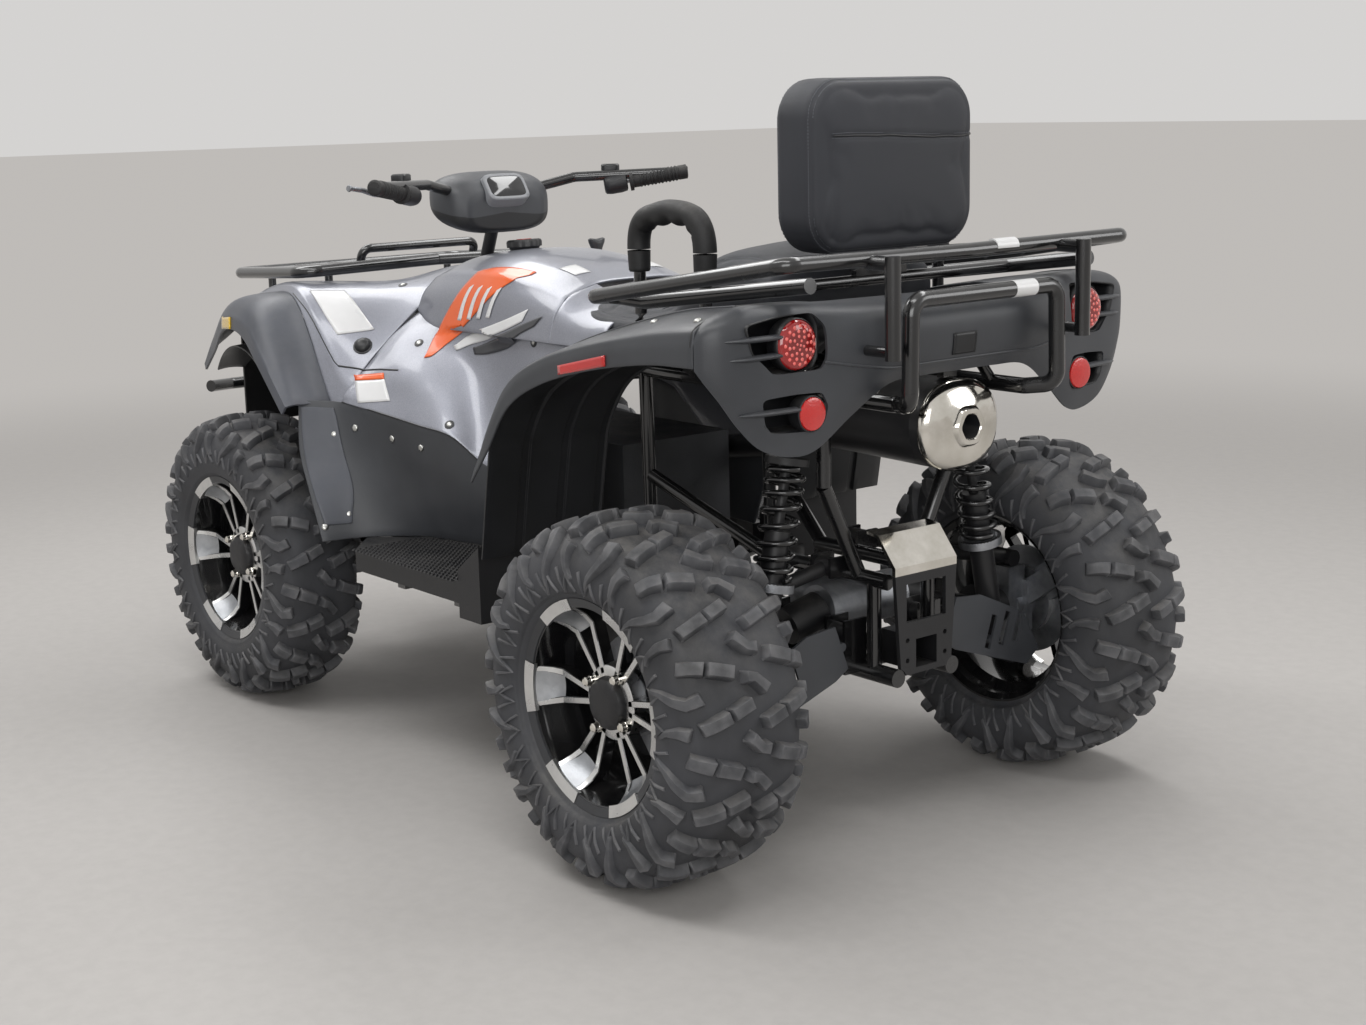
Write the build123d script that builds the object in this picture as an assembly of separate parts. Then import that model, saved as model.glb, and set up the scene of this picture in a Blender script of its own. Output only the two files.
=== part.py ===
from build123d import *
import os
from math import atan2, cos, degrees, hypot, pi, radians, sin, sqrt, tan

# A four-wheel straddle quad for two riders, with racks at both ends.
# Millimetres. +X is forward, +Y is the rider's left, +Z is up.
# The origin is on the ground, under the middle of the whole machine.

# Wheels
REAR_AXLE_X = -790.0
FRONT_AXLE_X = 690.0
WHEEL_R = 317.0              # to the tips of the lugs
REAR_TRACK = 960.0
FRONT_TRACK = 840.0
REAR_TYRE_W = 260.0
FRONT_TYRE_W = 204.0
REAR_RIM_W = 216.0
FRONT_RIM_W = 176.0
BEAD_R = 178.0               # 14 inch bead seat
RIM_LIP_R = 186.0
RIM_WALL = 6.0
RIM_WELL_R = 162.0
TREAD_T = 24.0
SIDEWALL_T = 15.0
SPOKE_COUNT = 5
SPOKE_SLIT = 17.0
HUB_R = 62.0
HUB_BORE_R = 30.0
WHEEL_NUT_PCD = 110.0
WHEEL_NUT_R = 9.0
SPINDLE_R = 20.0
DISC_R = 106.0
DISC_T = 5.0
DISC_GAP = 5.0               # brake disc to caliper
RUN = 0.3                    # running clearance, and the gap of a seat

# Frame tubes
RAIL_R = 16.0
LOW_RAIL_Z = 303.0
MID_RAIL_Z = 470.0
HIGH_RAIL_Z = 640.0
REAR_RAIL_Y = 66.0
FRONT_RAIL_Y = 100.0
BELLY_RAIL_Y = 150.0
SEAT_RAIL_Y = 150.0
SEAT_RAIL_Z = 800.0
PLATE_T = 6.0

# Steering
KINGPIN_Y = 345.0
KINGPIN_R = 8.0
COLUMN_TOP = (300.0, 0.0, 1090.0)
COLUMN_FOOT = (600.0, 0.0, 400.0)
COLUMN_R = 14.0
PITMAN = 90.0
PITMAN_PIN_Y = 30.0
TIE_ROD_R = 8.0
STEER_ARM = 115.0
OPEN_PIVOT_GAP = 7.0         # under the tie rod's outer end, where the linkage is left open
GRIP_END = (139.0, 398.0, 1138.0)
BAR_R = 11.0
BAR_X = 320.0                # where the bar crosses the stem's clamp
GRIP_R = 17.0
GRIP_LEN = 130.0

# Bodywork
FUEL_CAP_R = 38.0
SKIN = 5.0                   # moulded panels
FLARE_OUT_Y = 510.0
FENDER_OUT_Y = 505.0
BACKREST_W = 396.0
BACKREST_TOP = 1330.0
BACKREST_FOOT = 1030.0
BACKREST_T = 105.0
BOARD_TOP = 418.0
BOARD_T = 43.0
BOARD_OUT_Y = 480.0

# Racks, bumpers and tubes
RACK_R = 13.0
RACK_THIN_R = 8.0
BUMPER_R = 14.0
OVERALL = 2298.0
REAR_RACK_Z = 1040.0
REAR_RACK_W = 820.0
FRONT_RACK_Z = 922.0

# Rear end
MUFFLER_W = 184.0
MUFFLER_H = 157.0
MUFFLER_Y = -36.0
MUFFLER_Z = 741.0
MUFFLER_TAIL_X = -1060.0
OUTLET_R = 21.0
HITCH_X = -975.0
HITCH_W = 150.0
RECEIVER = 51.0              # inner width of the square receiver
RECEIVER_Z = 342.0
LAMP_R = 40.0
REFLECTOR_R = 28.0

RA, FA = REAR_AXLE_X, FRONT_AXLE_X
UP = (0, 0, 1)


def add(a, b):
    return tuple(p + q for p, q in zip(a, b))


def rod(a, b, r):
    """A round bar from a to b."""
    axis = Vector(*b) - Vector(*a)
    place = Plane(origin=a, z_dir=axis)
    return place * Cylinder(r, axis.length, align=(Align.CENTER, Align.CENTER, Align.MIN))


def pipe(points, r, bend):
    """A bent tube, drawn solid: straight runs joined by arcs of one radius."""
    path = FilletPolyline(*points, radius=bend)
    start = Plane(origin=path @ 0, z_dir=path % 0)
    return sweep(start * Circle(r), path=path)


def face(points, plane=Plane.XY):
    return plane * make_face(Polyline(*points, close=True))


def prism(points, plane, depth):
    """A flat outline pushed along its plane's normal."""
    return extrude(face(points, plane), amount=depth)


def block(low, high):
    size = [abs(h - l) for l, h in zip(low, high)]
    middle = [(l + h) / 2 for l, h in zip(low, high)]
    return Pos(*middle) * Box(*size)


def set_in(points, t):
    """The open outline moved t to its left, with mitred corners."""
    normals = []
    for (x0, y0), (x1, y1) in zip(points, points[1:]):
        n = hypot(x1 - x0, y1 - y0)
        normals.append((-(y1 - y0) / n, (x1 - x0) / n))
    out = []
    for i, (x, y) in enumerate(points):
        a, b = normals[max(i - 1, 0)], normals[min(i, len(normals) - 1)]
        k = t / max(1 + a[0] * b[0] + a[1] * b[1], 0.5)
        out.append((x + (a[0] + b[0]) * k, y + (a[1] + b[1]) * k))
    return out


def skin(points, t):
    """Closed outline of a bent sheet, t thick, to the left of its points."""
    return points + set_in(points, t)[::-1]


def panel(stations, t):
    """A moulded panel: bent sheets on a row of planes, joined straight.
    stations are (plane, open outline); all outlines have as many points."""
    return loft([face(skin(points, t), plane) for plane, points in stations], ruled=True)


def whole(points):
    """A left side's outline from the middle out, with its mirror image before it."""
    return [(-y, z) for y, z in points[:0:-1]] + points


def across(x):
    """The cross plane at x; its own axes are the row's Y and Z."""
    return Plane(origin=(x, 0, 0), x_dir=(0, 1, 0), z_dir=(1, 0, 0))


def level(z):
    """The level plane at z; its own axes are the row's X and Y."""
    return Plane(origin=(0, 0, z), x_dir=(1, 0, 0), z_dir=(0, 0, 1))


def upright(y):
    """The long plane at y; its own axes are the row's X and Z, its normal -Y."""
    return Plane(origin=(0, y, 0), x_dir=(1, 0, 0), z_dir=(0, -1, 0))


def right(part):
    return mirror(part, about=Plane.XZ)


def both(part):
    return part + right(part)


# Wheels. Each is drawn about the Y axis with w = 0 at the tyre's middle
# and w growing outwards on the left side of the machine.

def turned(profile):
    """Revolve (w, r) points about the Y axis."""
    return revolve(face([(r, w) for w, r in profile], Plane.XY), axis=Axis.Y)


def make_tyre(width, rim_w):
    half, seat = width / 2, rim_w / 2 - RIM_WALL - RUN
    bead, crown = BEAD_R + RUN, WHEEL_R
    outer = [
        (seat, bead), (seat, RIM_LIP_R + 2), (rim_w / 2 + 4, RIM_LIP_R + 6),
        (half, bead + 55), (half - 3, crown - 45), (half - 22, crown - 14), (half - 55, crown - 2),
        (0, crown)]
    inner = [
        (0, crown - TREAD_T), (half - 55, crown - TREAD_T - 2), (half - 30, crown - 48),
        (half - SIDEWALL_T, bead + 60), (seat - 14, bead + 14), (seat - 18, bead)]
    side = outer + inner[1:]
    left = [p for p in outer] + [(-w, r) for w, r in outer[-2::-1]]
    back = [(-w, r) for w, r in inner[::-1]] + [(w, r) for w, r in inner[1:]]
    return turned(left + back)


def make_rim(rim_w):
    f = rim_w / 2
    seat, well = BEAD_R, RIM_WELL_R
    half = [
        (f, RIM_LIP_R), (f - RIM_WALL, RIM_LIP_R), (f - RIM_WALL, seat), (f - 26, seat), (f - 40, well)]
    bore = [
        (f, RIM_LIP_R - 7), (f - 10, seat - 7), (f - 28, seat - 7), (f - 44, well - RIM_WALL)]
    outside = half + [(-w, r) for w, r in half[::-1]]
    inside = [(-w, r) for w, r in bore] + bore[::-1]
    barrel = turned(outside + inside)
    filled = turned(outside + [(-f, 0), (f, 0)])
    dish = turned([
        (f - 50, 0), (f - 26, 0), (f - 26, HUB_R), (f - 6, 150), (f - 6, RIM_LIP_R),
        (f - 36, RIM_LIP_R), (f - 36, 150), (f - 50, HUB_R)])
    spoke = prism([(-16, 40), (-30, 150), (-44, RIM_LIP_R), (44, RIM_LIP_R), (30, 150), (16, 40)],
                  Plane.XZ, -rim_w)
    slit = prism([(-4, 74), (-SPOKE_SLIT, 140), (SPOKE_SLIT, 140), (4, 74)], Plane.XZ, -rim_w)
    arm = spoke - slit
    star = turned([(0, 0), (0, HUB_R), (f, HUB_R), (f, 0)])
    for i in range(SPOKE_COUNT):
        star += Rot(0, 360 / SPOKE_COUNT * i, 0) * arm
    wheel = barrel + (star & dish & filled)
    return wheel - turned([(-f, 0), (-f, HUB_BORE_R), (f, HUB_BORE_R), (f, 0)])


def make_hub(rim_w):
    """Hub, cap and brake disc, which turn with the wheel."""
    f = rim_w / 2
    back, seat = -10.0, f - 50.0
    core = turned([
        (back, SPINDLE_R + RUN), (back, 36), (0, 36), (0, 44), (DISC_T, 44), (DISC_T, 36), (seat - 12, 36),
        (seat - 12, HUB_R - 2), (seat, HUB_R - 2), (seat, HUB_BORE_R), (f - 26, HUB_BORE_R),
        (f - 26, HUB_BORE_R + 8), (f - 10, 32), (f - 4, 24), (f - 4, 0),
        (seat - 20, 0), (seat - 20, SPINDLE_R + RUN)])
    disc = turned([(0, 40), (0, DISC_R), (DISC_T, DISC_R), (DISC_T, 40)])
    return core + disc


def hub_length(rim_w):
    """How far out the spindle reaches from the tyre's middle."""
    return rim_w / 2 - 50 - 20 - 1


def caliper():
    """It straddles the disc at the rear upper edge, open over it."""
    body = block((-DISC_R - 18, -24, -34), (-DISC_R + 34, DISC_T + 26, 34))
    slot = turned([(-DISC_GAP, 0), (-DISC_GAP, DISC_R + 6), (DISC_T + DISC_GAP, DISC_R + 6), (DISC_T + DISC_GAP, 0)])
    return Rot(0, 35, 0) * (body - slot)


def make_rear_knuckle():
    half_h = 80.0
    plate = block((-30, -85, -half_h), (30, -40, half_h))
    plate += block((-42, -46, -50), (42, -30, 50))
    spindle = rod((0, -60, 0), (0, hub_length(REAR_RIM_W), 0), SPINDLE_R)
    shoulder = rod((0, -60, 0), (0, -11, 0), 34)
    arm = Rot(0, 35, 0) * block((-DISC_R - 12, -40, -22), (-20, -24 + 1, 22))
    part = plate + spindle + shoulder + arm + caliper()
    return Pos(RA, REAR_TRACK / 2, WHEEL_R) * part


def make_front_knuckle():
    inset = FRONT_TRACK / 2 - KINGPIN_Y
    ear_z = 93.0
    plate = block((-26, -52, -ear_z - 14), (26, -28, ear_z + 14))
    spindle = rod((0, -40, 0), (0, hub_length(FRONT_RIM_W), 0), SPINDLE_R)
    shoulder = rod((0, -50, 0), (0, -11, 0), 34)
    arm = Rot(0, 35, 0) * block((-DISC_R - 12, -40, -22), (-20, -24 + 1, 22))
    part = plate + spindle + shoulder + arm + caliper()
    for s in (1, -1):
        ear = block((-20, -inset - 20, s * ear_z), (20, -40, s * (ear_z + 14)))
        part += ear + rod((0, -inset, s * (ear_z + 7)), (0, -inset, s * (ear_z + 38)), KINGPIN_R)
    part += prism([(-10, -50), (-20, -30), (-STEER_ARM, -inset - 6), (-STEER_ARM - 8, -inset - 22),
                   (-STEER_ARM + 6, -inset - 30)], level(10), 14)
    return Pos(FA, FRONT_TRACK / 2, WHEEL_R) * part


def arm_eye(x, y, z, half, r):
    return rod((x - half, y, z), (x + half, y, z), r)


def make_rear_arms(upper):
    """Two legs from their bushes at the frame to one eye at the hub carrier."""
    eye_y, r = REAR_TRACK / 2 - 70, 13.0
    eye_z = WHEEL_R + (80 + 16 + RUN) * (1 if upper else -1)
    y, z = (100.0, 486.0) if upper else (100.0, 372.0)
    front, rear = (RA + 70, RA - 55) if upper else (RA + 110, RA - 90)
    eye = (RA, eye_y, eye_z)
    part = arm_eye(RA, eye_y, eye_z, 30, 16)
    for x in (front, rear):
        part += rod((x, y, z), add(eye, ((x - RA) * 0.15, 0, 0)), r) + arm_eye(x, y, z, 20 - RUN, 17)
    if not upper:
        part += block((RA - 96, 270, 283), (RA - 30, 300, 300)) + block((RA - 96, 270, 283), (RA - 68, 300, REAR_SHOCK[1][2] - 15 - RUN))
    top = WHEEL_R - 80 - RUN if not upper else WHEEL_R + 80 + RUN
    part -= block((RA - 60, REAR_TRACK / 2 - 85 - RUN, WHEEL_R), (RA + 60, REAR_TRACK / 2, top))
    return both(part)


def make_front_arms(upper):
    r = 12.0
    eye_z = WHEEL_R + (93 + 14 + 10) * (1 if upper else -1)
    y = FRONT_RAIL_Y + RAIL_R + 15 + RUN
    z = MID_RAIL_Z if upper else LOW_RAIL_Z
    span = 52.0 if upper else 95.0
    s = 1 if upper else -1
    part = rod((FA, KINGPIN_Y, eye_z), (FA, KINGPIN_Y, eye_z + s * 26), 20)
    for x in (FA - span, FA + span):
        part += rod((x, y, z), (FA, KINGPIN_Y, eye_z + s * 18), r) + arm_eye(x, y, z, 22, 15)
    part -= rod((FA, KINGPIN_Y, eye_z - s), (FA, KINGPIN_Y, eye_z + s * 16), KINGPIN_R + RUN)
    if not upper:
        x, y, z = FRONT_SHOCK[1]
        part += block((FA + 36, y - 16, z - 38), (x + 20, y + 16, z - 15 - RUN))
    return both(part)


def make_arm_guards():
    """Plates behind the rear lower arms, with slots."""
    low = prism([(120, 318), (150, 398), (215, 392), (330, 340), (372, 262), (340, 236), (150, 300)],
                across(RA - 126), 5)
    for y in (225, 262, 299):
        low -= prism([(y, 290), (y + 14, 284), (y + 34, 344), (y + 20, 350)], across(RA - 130), 12)
    for y in (130, 250):
        t = (y - 100) / 310
        low += rod((RA - 123, y, 372 - 151 * t), (RA - 90 + 76.5 * t - 15.5, y, 372 - 151 * t), 8)
    return both(low)


def shock(top, foot, spring_r):
    """A damper with its coil spring, drawn along its own axis."""
    length = (Vector(*top) - Vector(*foot)).length
    place = Plane(origin=foot, x_dir=(1, 0, 0), z_dir=Vector(*top) - Vector(*foot))
    body = Cylinder(22, length * 0.62, align=(Align.CENTER, Align.CENTER, Align.MIN))
    stem = Pos(0, 0, length * 0.5) * Cylinder(9, length * 0.5, align=(Align.CENTER, Align.CENTER, Align.MIN))
    collar = Pos(0, 0, length * 0.36) * Cylinder(spring_r + 4, 10, align=(Align.CENTER, Align.CENTER, Align.MIN))
    cap = Pos(0, 0, length - 30) * Cylinder(spring_r + 2, 12, align=(Align.CENTER, Align.CENTER, Align.MIN))
    eyes = Rot(0, 90, 0) * Cylinder(15, 26) + Pos(0, 0, length) * Rot(0, 90, 0) * Cylinder(15, 26)
    return place * (body + stem + collar + cap + eyes)


def coil(top, foot, spring_r, wire, turns):
    """The spring between the damper's collar and its cap, as a wavy sleeve: one wave a turn."""
    length = (Vector(*top) - Vector(*foot)).length
    place = Plane(origin=foot, x_dir=(1, 0, 0), z_dir=Vector(*top) - Vector(*foot))
    low, high = length * 0.36 + 10 + RUN, length - 30 - RUN
    pitch = (high - low) / turns
    outside = [(spring_r - wire, low)]
    for i in range(turns):
        z = low + pitch * i
        outside += [(spring_r, z + 1), (spring_r, z + wire), (spring_r - wire + 1, z + wire + 3)]
        outside += [(spring_r - wire + 1, z + pitch)] if i < turns - 1 else []
    outside[-1] = (spring_r - wire + 1, high)
    sleeve = revolve(face(outside + [(22 + RUN, high), (22 + RUN, low)], Plane.XZ), axis=Axis.Z)
    return place * sleeve


REAR_SHOCK = ((RA - 82, 212, 716), (RA - 82, 285, 346))
FRONT_SHOCK = ((FA + 80, 168, 742), (FA + 80, 262, 262))


def fender_z(x):
    """Height of the fenders' inner deck's underside."""
    rows = [(-460, 872), (-560, 900), (-700, 930), (-860, 960), (-980, 966)]
    for (x0, z0), (x1, z1) in zip(rows, rows[1:]):
        if x1 <= x <= x0:
            return z0 + (z1 - z0) * (x - x0) / (x1 - x0) - SKIN - 1
    return None


def make_frame():
    """Two cradle rails, two middle rails at each end, two high rails and uprights."""
    low = pipe([(HITCH_X - 10, REAR_RAIL_Y, LOW_RAIL_Z), (-640, REAR_RAIL_Y, LOW_RAIL_Z),
                (-430, BELLY_RAIL_Y, LOW_RAIL_Z), (330, BELLY_RAIL_Y, LOW_RAIL_Z),
                (520, FRONT_RAIL_Y, LOW_RAIL_Z), (880, FRONT_RAIL_Y, LOW_RAIL_Z),
                (985, FRONT_RAIL_Y, 440)], RAIL_R, 60)
    mid_front = rod((430, FRONT_RAIL_Y, MID_RAIL_Z), (1000, FRONT_RAIL_Y, MID_RAIL_Z), RAIL_R - 2)
    mid_rear = rod((-960, REAR_RAIL_Y, MID_RAIL_Z), (-640, REAR_RAIL_Y, MID_RAIL_Z), RAIL_R - 2)
    high = pipe([(1000, FRONT_RAIL_Y, HIGH_RAIL_Z), (430, FRONT_RAIL_Y, HIGH_RAIL_Z),
                 (180, 130, 700), (-330, SEAT_RAIL_Y, SEAT_RAIL_Z), (-1010, SEAT_RAIL_Y, SEAT_RAIL_Z)],
                RAIL_R - 2, 60)
    ties = [
        ((450, FRONT_RAIL_Y, LOW_RAIL_Z + 5), (440, FRONT_RAIL_Y, HIGH_RAIL_Z)),
        ((975, FRONT_RAIL_Y, 430), (985, FRONT_RAIL_Y, HIGH_RAIL_Z)),
        ((-410, BELLY_RAIL_Y, LOW_RAIL_Z), (-400, SEAT_RAIL_Y, SEAT_RAIL_Z)),
        ((-925, REAR_RAIL_Y, LOW_RAIL_Z), (-925, REAR_RAIL_Y, MID_RAIL_Z)),
        ((-890, REAR_RAIL_Y, MID_RAIL_Z), (-890, SEAT_RAIL_Y, 640)),
        ((-890, SEAT_RAIL_Y, 640), (-890, SEAT_RAIL_Y, SEAT_RAIL_Z)),
        ((-650, REAR_RAIL_Y, MID_RAIL_Z), (-410, BELLY_RAIL_Y, 600))]
    side = low + mid_front + mid_rear + high
    for a, b in ties:
        side += rod(a, b, RAIL_R - 3)
    side += rod((-560, 100, LOW_RAIL_Z), (-650, REAR_RAIL_Y, MID_RAIL_Z), RAIL_R - 4)
    for middle, low_z, high_z in ((RA - 90, LOW_RAIL_Z, 400), (RA + 110, LOW_RAIL_Z, 400),
                                  (RA - 55, MID_RAIL_Z, 506), (RA + 70, MID_RAIL_Z, 506)):
        for x in (middle - 23, middle + 23):
            side += block((x - 3 + 0.01, REAR_RAIL_Y, low_z), (x + 3, 118, high_z))
    for x in (-860, -560):
        side += rod((x, SEAT_RAIL_Y, SEAT_RAIL_Z), (x, 238, fender_z(x) - 26), 9)
        side += prism([(x - 16, fender_z(x - 16) - 30), (x - 16, fender_z(x - 16) - RUN - 0.5),
                       (x, fender_z(x) - RUN - 0.5), (x, fender_z(x) - 30)], upright(258), 36)
    for x in (-150, 60):
        side += rod((x, BELLY_RAIL_Y, LOW_RAIL_Z), (x, 400, 350), 10)
        side += block((x - 14, 270, 344), (x + 14, 430, BOARD_TOP - BOARD_T - RUN))
    side += rod((900, FRONT_RAIL_Y, HIGH_RAIL_Z), (900, FRONT_RAIL_Y, 861.5), 9)
    x, y, z = FRONT_SHOCK[0]
    front_ear = [(88, z - 14), (y - 18, z - 14), (y + 2, z - 13), (y + 14, z - 4), (y + 14, z + 15), (88, z + 15)]
    side += block((x - 18.3, 88, HIGH_RAIL_Z), (x + 18.3, 108, z + 15))
    a, b, c = REAR_SHOCK[0]
    rear_ear = [(138, 790), (162, 808), (b + 12, c + 8), (b + 10, c - 11), (b - 11, c - 8)]
    for ear, middle in ((front_ear, x), (rear_ear, a)):
        for side_x in (middle - 18.3, middle + 13 + RUN):
            side += prism(ear, across(side_x), 5)
    frame = both(side)
    cross = [(-865, REAR_RAIL_Y, LOW_RAIL_Z), (-430, BELLY_RAIL_Y, LOW_RAIL_Z), (250, BELLY_RAIL_Y, LOW_RAIL_Z),
             (880, FRONT_RAIL_Y, LOW_RAIL_Z), (985, FRONT_RAIL_Y, MID_RAIL_Z),
             (-340, SEAT_RAIL_Y, SEAT_RAIL_Z), (990, FRONT_RAIL_Y, HIGH_RAIL_Z)]
    for x, y, z in cross:
        frame += rod((x, -y, z), (x, y, z), RAIL_R - 4)
    y, z = SEAT_RAIL_Y, SEAT_RAIL_Z
    frame += pipe([(-1000, -y, z), (-1000, -y + 36, z + 44), (-1000, y - 36, z + 44), (-1000, y, z)], 10, 20)
    hanger = block((-1008, -52, MUFFLER_Z + MUFFLER_H / 2 + RUN + 1), (-992, -20, z + 44))
    return frame + hanger + make_column_bearing()


def column_axis():
    return (Vector(*COLUMN_FOOT) - Vector(*COLUMN_TOP)).normalized()


def column_point(z):
    t = (z - COLUMN_TOP[2]) / (COLUMN_FOOT[2] - COLUMN_TOP[2])
    return tuple(a + (b - a) * t for a, b in zip(COLUMN_TOP, COLUMN_FOOT))


def make_column_bearing():
    """The lower bearing block on its cross tube between the middle rails."""
    p = column_point(MID_RAIL_Z)
    tube = rod((p[0], -FRONT_RAIL_Y, p[2]), (p[0], FRONT_RAIL_Y, p[2]), 12)
    a = column_axis()
    housing = rod(tuple(Vector(*p) - a * 25), tuple(Vector(*p) + a * 25), COLUMN_R + 12)
    bore = rod(tuple(Vector(*p) - a * 60), tuple(Vector(*p) + a * 60), COLUMN_R + RUN)
    return tube + housing - bore


def pitman_plane(drop):
    """The plane square to the column, drop beyond its foot; its own X is rearwards."""
    a = column_axis()
    return Plane(origin=tuple(Vector(*COLUMN_FOOT) + a * drop), x_dir=(a.Z, 0, -a.X), z_dir=a)


def make_column():
    a = column_axis()
    foot = Vector(*COLUMN_FOOT)
    stem = rod(COLUMN_TOP, tuple(foot + a * 10), COLUMN_R)
    plane = pitman_plane(0)
    arm = extrude(face([(-16, -18), (-16, 18), (PITMAN - 10, PITMAN_PIN_Y + 14), (PITMAN + 14, PITMAN_PIN_Y + 10),
                        (PITMAN + 14, -PITMAN_PIN_Y - 10), (PITMAN - 10, -PITMAN_PIN_Y - 14)], plane), amount=10)
    for s in (1, -1):
        arm += plane * Pos(PITMAN, s * PITMAN_PIN_Y, 10) * Cylinder(6, 24, align=(Align.CENTER, Align.CENTER, Align.MIN))
    x, z = BAR_X, COLUMN_TOP[2] + 18
    clamp = block((COLUMN_TOP[0] - 20, -60, COLUMN_TOP[2] - 10), (x + 20, 60, z + 18))
    bar = rod((x, -70, z), (x, 70, z), BAR_R + RUN)
    return stem + arm + (clamp - bar)


def tie_rod_ends():
    plane = pitman_plane(12)
    start = plane.from_local_coords((PITMAN, PITMAN_PIN_Y, 8))
    stop = (FA - STEER_ARM, KINGPIN_Y - 22, WHEEL_R + 10 + 14 + OPEN_PIVOT_GAP + 10)
    return tuple(start), stop


def make_tie_rod():
    start, stop = tie_rod_ends()
    a = column_axis()
    eye = rod(tuple(Vector(*start) - a * 7), tuple(Vector(*start) + a * 7), 14)
    end = rod(add(stop, (0, 0, -10)), add(stop, (0, 0, 10)), 14)
    bar = rod(start, stop, TIE_ROD_R)
    hole = rod(tuple(Vector(*start) - a * 20), tuple(Vector(*start) + a * 20), 6 + RUN)
    return eye + end + bar - hole


def bar_points():
    c = (BAR_X, 0, COLUMN_TOP[2] + 18)
    x, y, z = GRIP_END
    return [(x, y, z), (c[0] - 40, 190, z - 6), (c[0], 90, c[2]), (c[0], -90, c[2]), (c[0] - 40, -190, z - 6), (x, -y, z)]


def make_handlebar():
    return pipe(bar_points(), BAR_R, 40)


def make_grips():
    end, knee = bar_points()[0], bar_points()[1]
    d = (Vector(*knee) - Vector(*end)).normalized()
    bore = rod(tuple(Vector(*end) - d * 10), tuple(Vector(*end) + d * 220), BAR_R + RUN)
    grip = rod(end, tuple(Vector(*end) + d * GRIP_LEN), GRIP_R) + rod(end, tuple(Vector(*end) + d * 6), GRIP_R + 3)
    box = Plane(origin=tuple(Vector(*end) + d * (GRIP_LEN + 24)), z_dir=d) * Box(46, 40, 44)
    lever = pipe([tuple(Vector(*end) + d * (GRIP_LEN + 30) + Vector(26, 0, 0)),
                  tuple(Vector(*end) + d * (GRIP_LEN + 20) + Vector(62, 8, -2)),
                  tuple(Vector(*end) + d * 10 + Vector(56, 30, 0))], 6, 14)
    return both(grip + box + lever - bore)


def make_pod():
    """Instrument housing over the bar's clamp, open underneath."""
    x, z = COLUMN_TOP[0], COLUMN_TOP[2]
    sections = [(-34, 96, -62, 20), (-10, 130, -70, 52), (50, 138, -60, 66), (100, 110, -30, 50)]
    rings = []
    for dx, half, low, high in sections:
        rings.append(face([(-half, z + low + 30), (-half + 22, z + low), (half - 22, z + low), (half, z + low + 30),
                           (half - 10, z + high - 24), (half - 50, z + high), (-half + 50, z + high),
                           (-half + 10, z + high - 24)], across(x + dx)))
    hollow = block((x - 22, -100, z - 80), (x + 84, 100, z + 40))
    slot = block((BAR_X - 30, 90, z - 80), (BAR_X + 18, 150, z + 36))
    return loft(rings, ruled=True) - hollow - both(slot)


def column_hole():
    return rod(column_point(800), column_point(1060), COLUMN_R + 8)


# Bodywork. Sections are (y, z) pairs for the left side, from the middle outwards,
# listed with the station they stand at.

# Where the silver fairing meets the dark flare: x from the front axle, y, z.
FLARE_SEAM = [(330, 345, 748), (210, 345, 800), (60, 352, 872), (-60, 360, 903), (-150, 374, 890),
              (-235, 390, 820), (-330, 402, 690)]


def make_front_fairing():
    """Silver top piece over the front wheels, up to the tank."""
    # (y, z) from the middle out, before the seam's own point
    rows = [
        [(0, 800), (90, 806), (190, 812), (300, 800)],
        [(0, 872), (100, 872), (205, 876), (300, 862)],
        [(0, 892), (110, 890), (215, 900), (320, 902)],
        [(0, 905), (120, 902), (225, 915), (325, 915)],
        [(0, 925), (120, 915), (230, 918), (330, 910)],
        [(0, 945), (120, 925), (225, 905), (340, 866)],
        [(0, 952), (120, 928), (205, 882), (330, 790)]]
    stations = [(across(FA + dx), whole(pts + [(y, z)])) for pts, (dx, y, z) in zip(rows, FLARE_SEAM)]
    stations.append((across(FA - 364), whole([(0, 952), (120, 926), (200, 872), (318, 770), (396, 676)])))
    return panel(stations, -SKIN) - column_hole()


def make_flares():
    """Dark arches over the front wheels: each section runs from the seam out to the lip."""
    # radius of the crest, its y, then the lip's outer and lower radii and its y
    rows = [
        (512, 396, 488, 470, 404), (520, 400, 494, 474, 414), (560, 420, 528, 500, 452), (582, 432, 540, 512, 476),
        (584, 440, 540, 510, 490), (548, 456, 520, 494, 504), (500, 462, 498, 476, FLARE_OUT_Y)]
    out = []
    for (dx, y, z), (crest_r, crest_y, out_r, lip_r, lip_y) in zip(FLARE_SEAM, rows):
        a = atan2(z - WHEEL_R, dx)
        plane = Plane(origin=(FA, 0, WHEEL_R), x_dir=(cos(a), 0, sin(a)), z_dir=(-sin(a), 0, cos(a)))
        out.append((plane, [(hypot(dx, z - WHEEL_R), y + RUN), (crest_r, crest_y), (out_r, lip_y - 2), (lip_r, lip_y)]))
    return both(panel(out, -SKIN))


# Where the silver side panel stands on the dark footwell: x, y.
SIDE_SEAM_Z = 652.0
SIDE_SEAM = [(320, 388), (220, 318), (40, 286), (-170, 270)]


def make_footwells():
    """Dark sheets behind the front wheels and beside the rider's boots."""
    # height, then (x, y) from the outer front edge in and back along the engine
    rows = [
        (BOARD_TOP + RUN, [(262, 492), (236, 400), (150, 312), (20, 276), (-170, 262)]),
        (520, [(312, 490), (262, 392), (160, 310), (20, 280), (-170, 268)]),
        (600, [(352, 486), (290, 390), (180, 312), (20, 284), (-170, 270)]),
        (SIDE_SEAM_Z - RUN, [(372, 470)] + SIDE_SEAM)]
    return both(panel([(level(z), pts) for z, pts in rows], SKIN))


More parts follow.
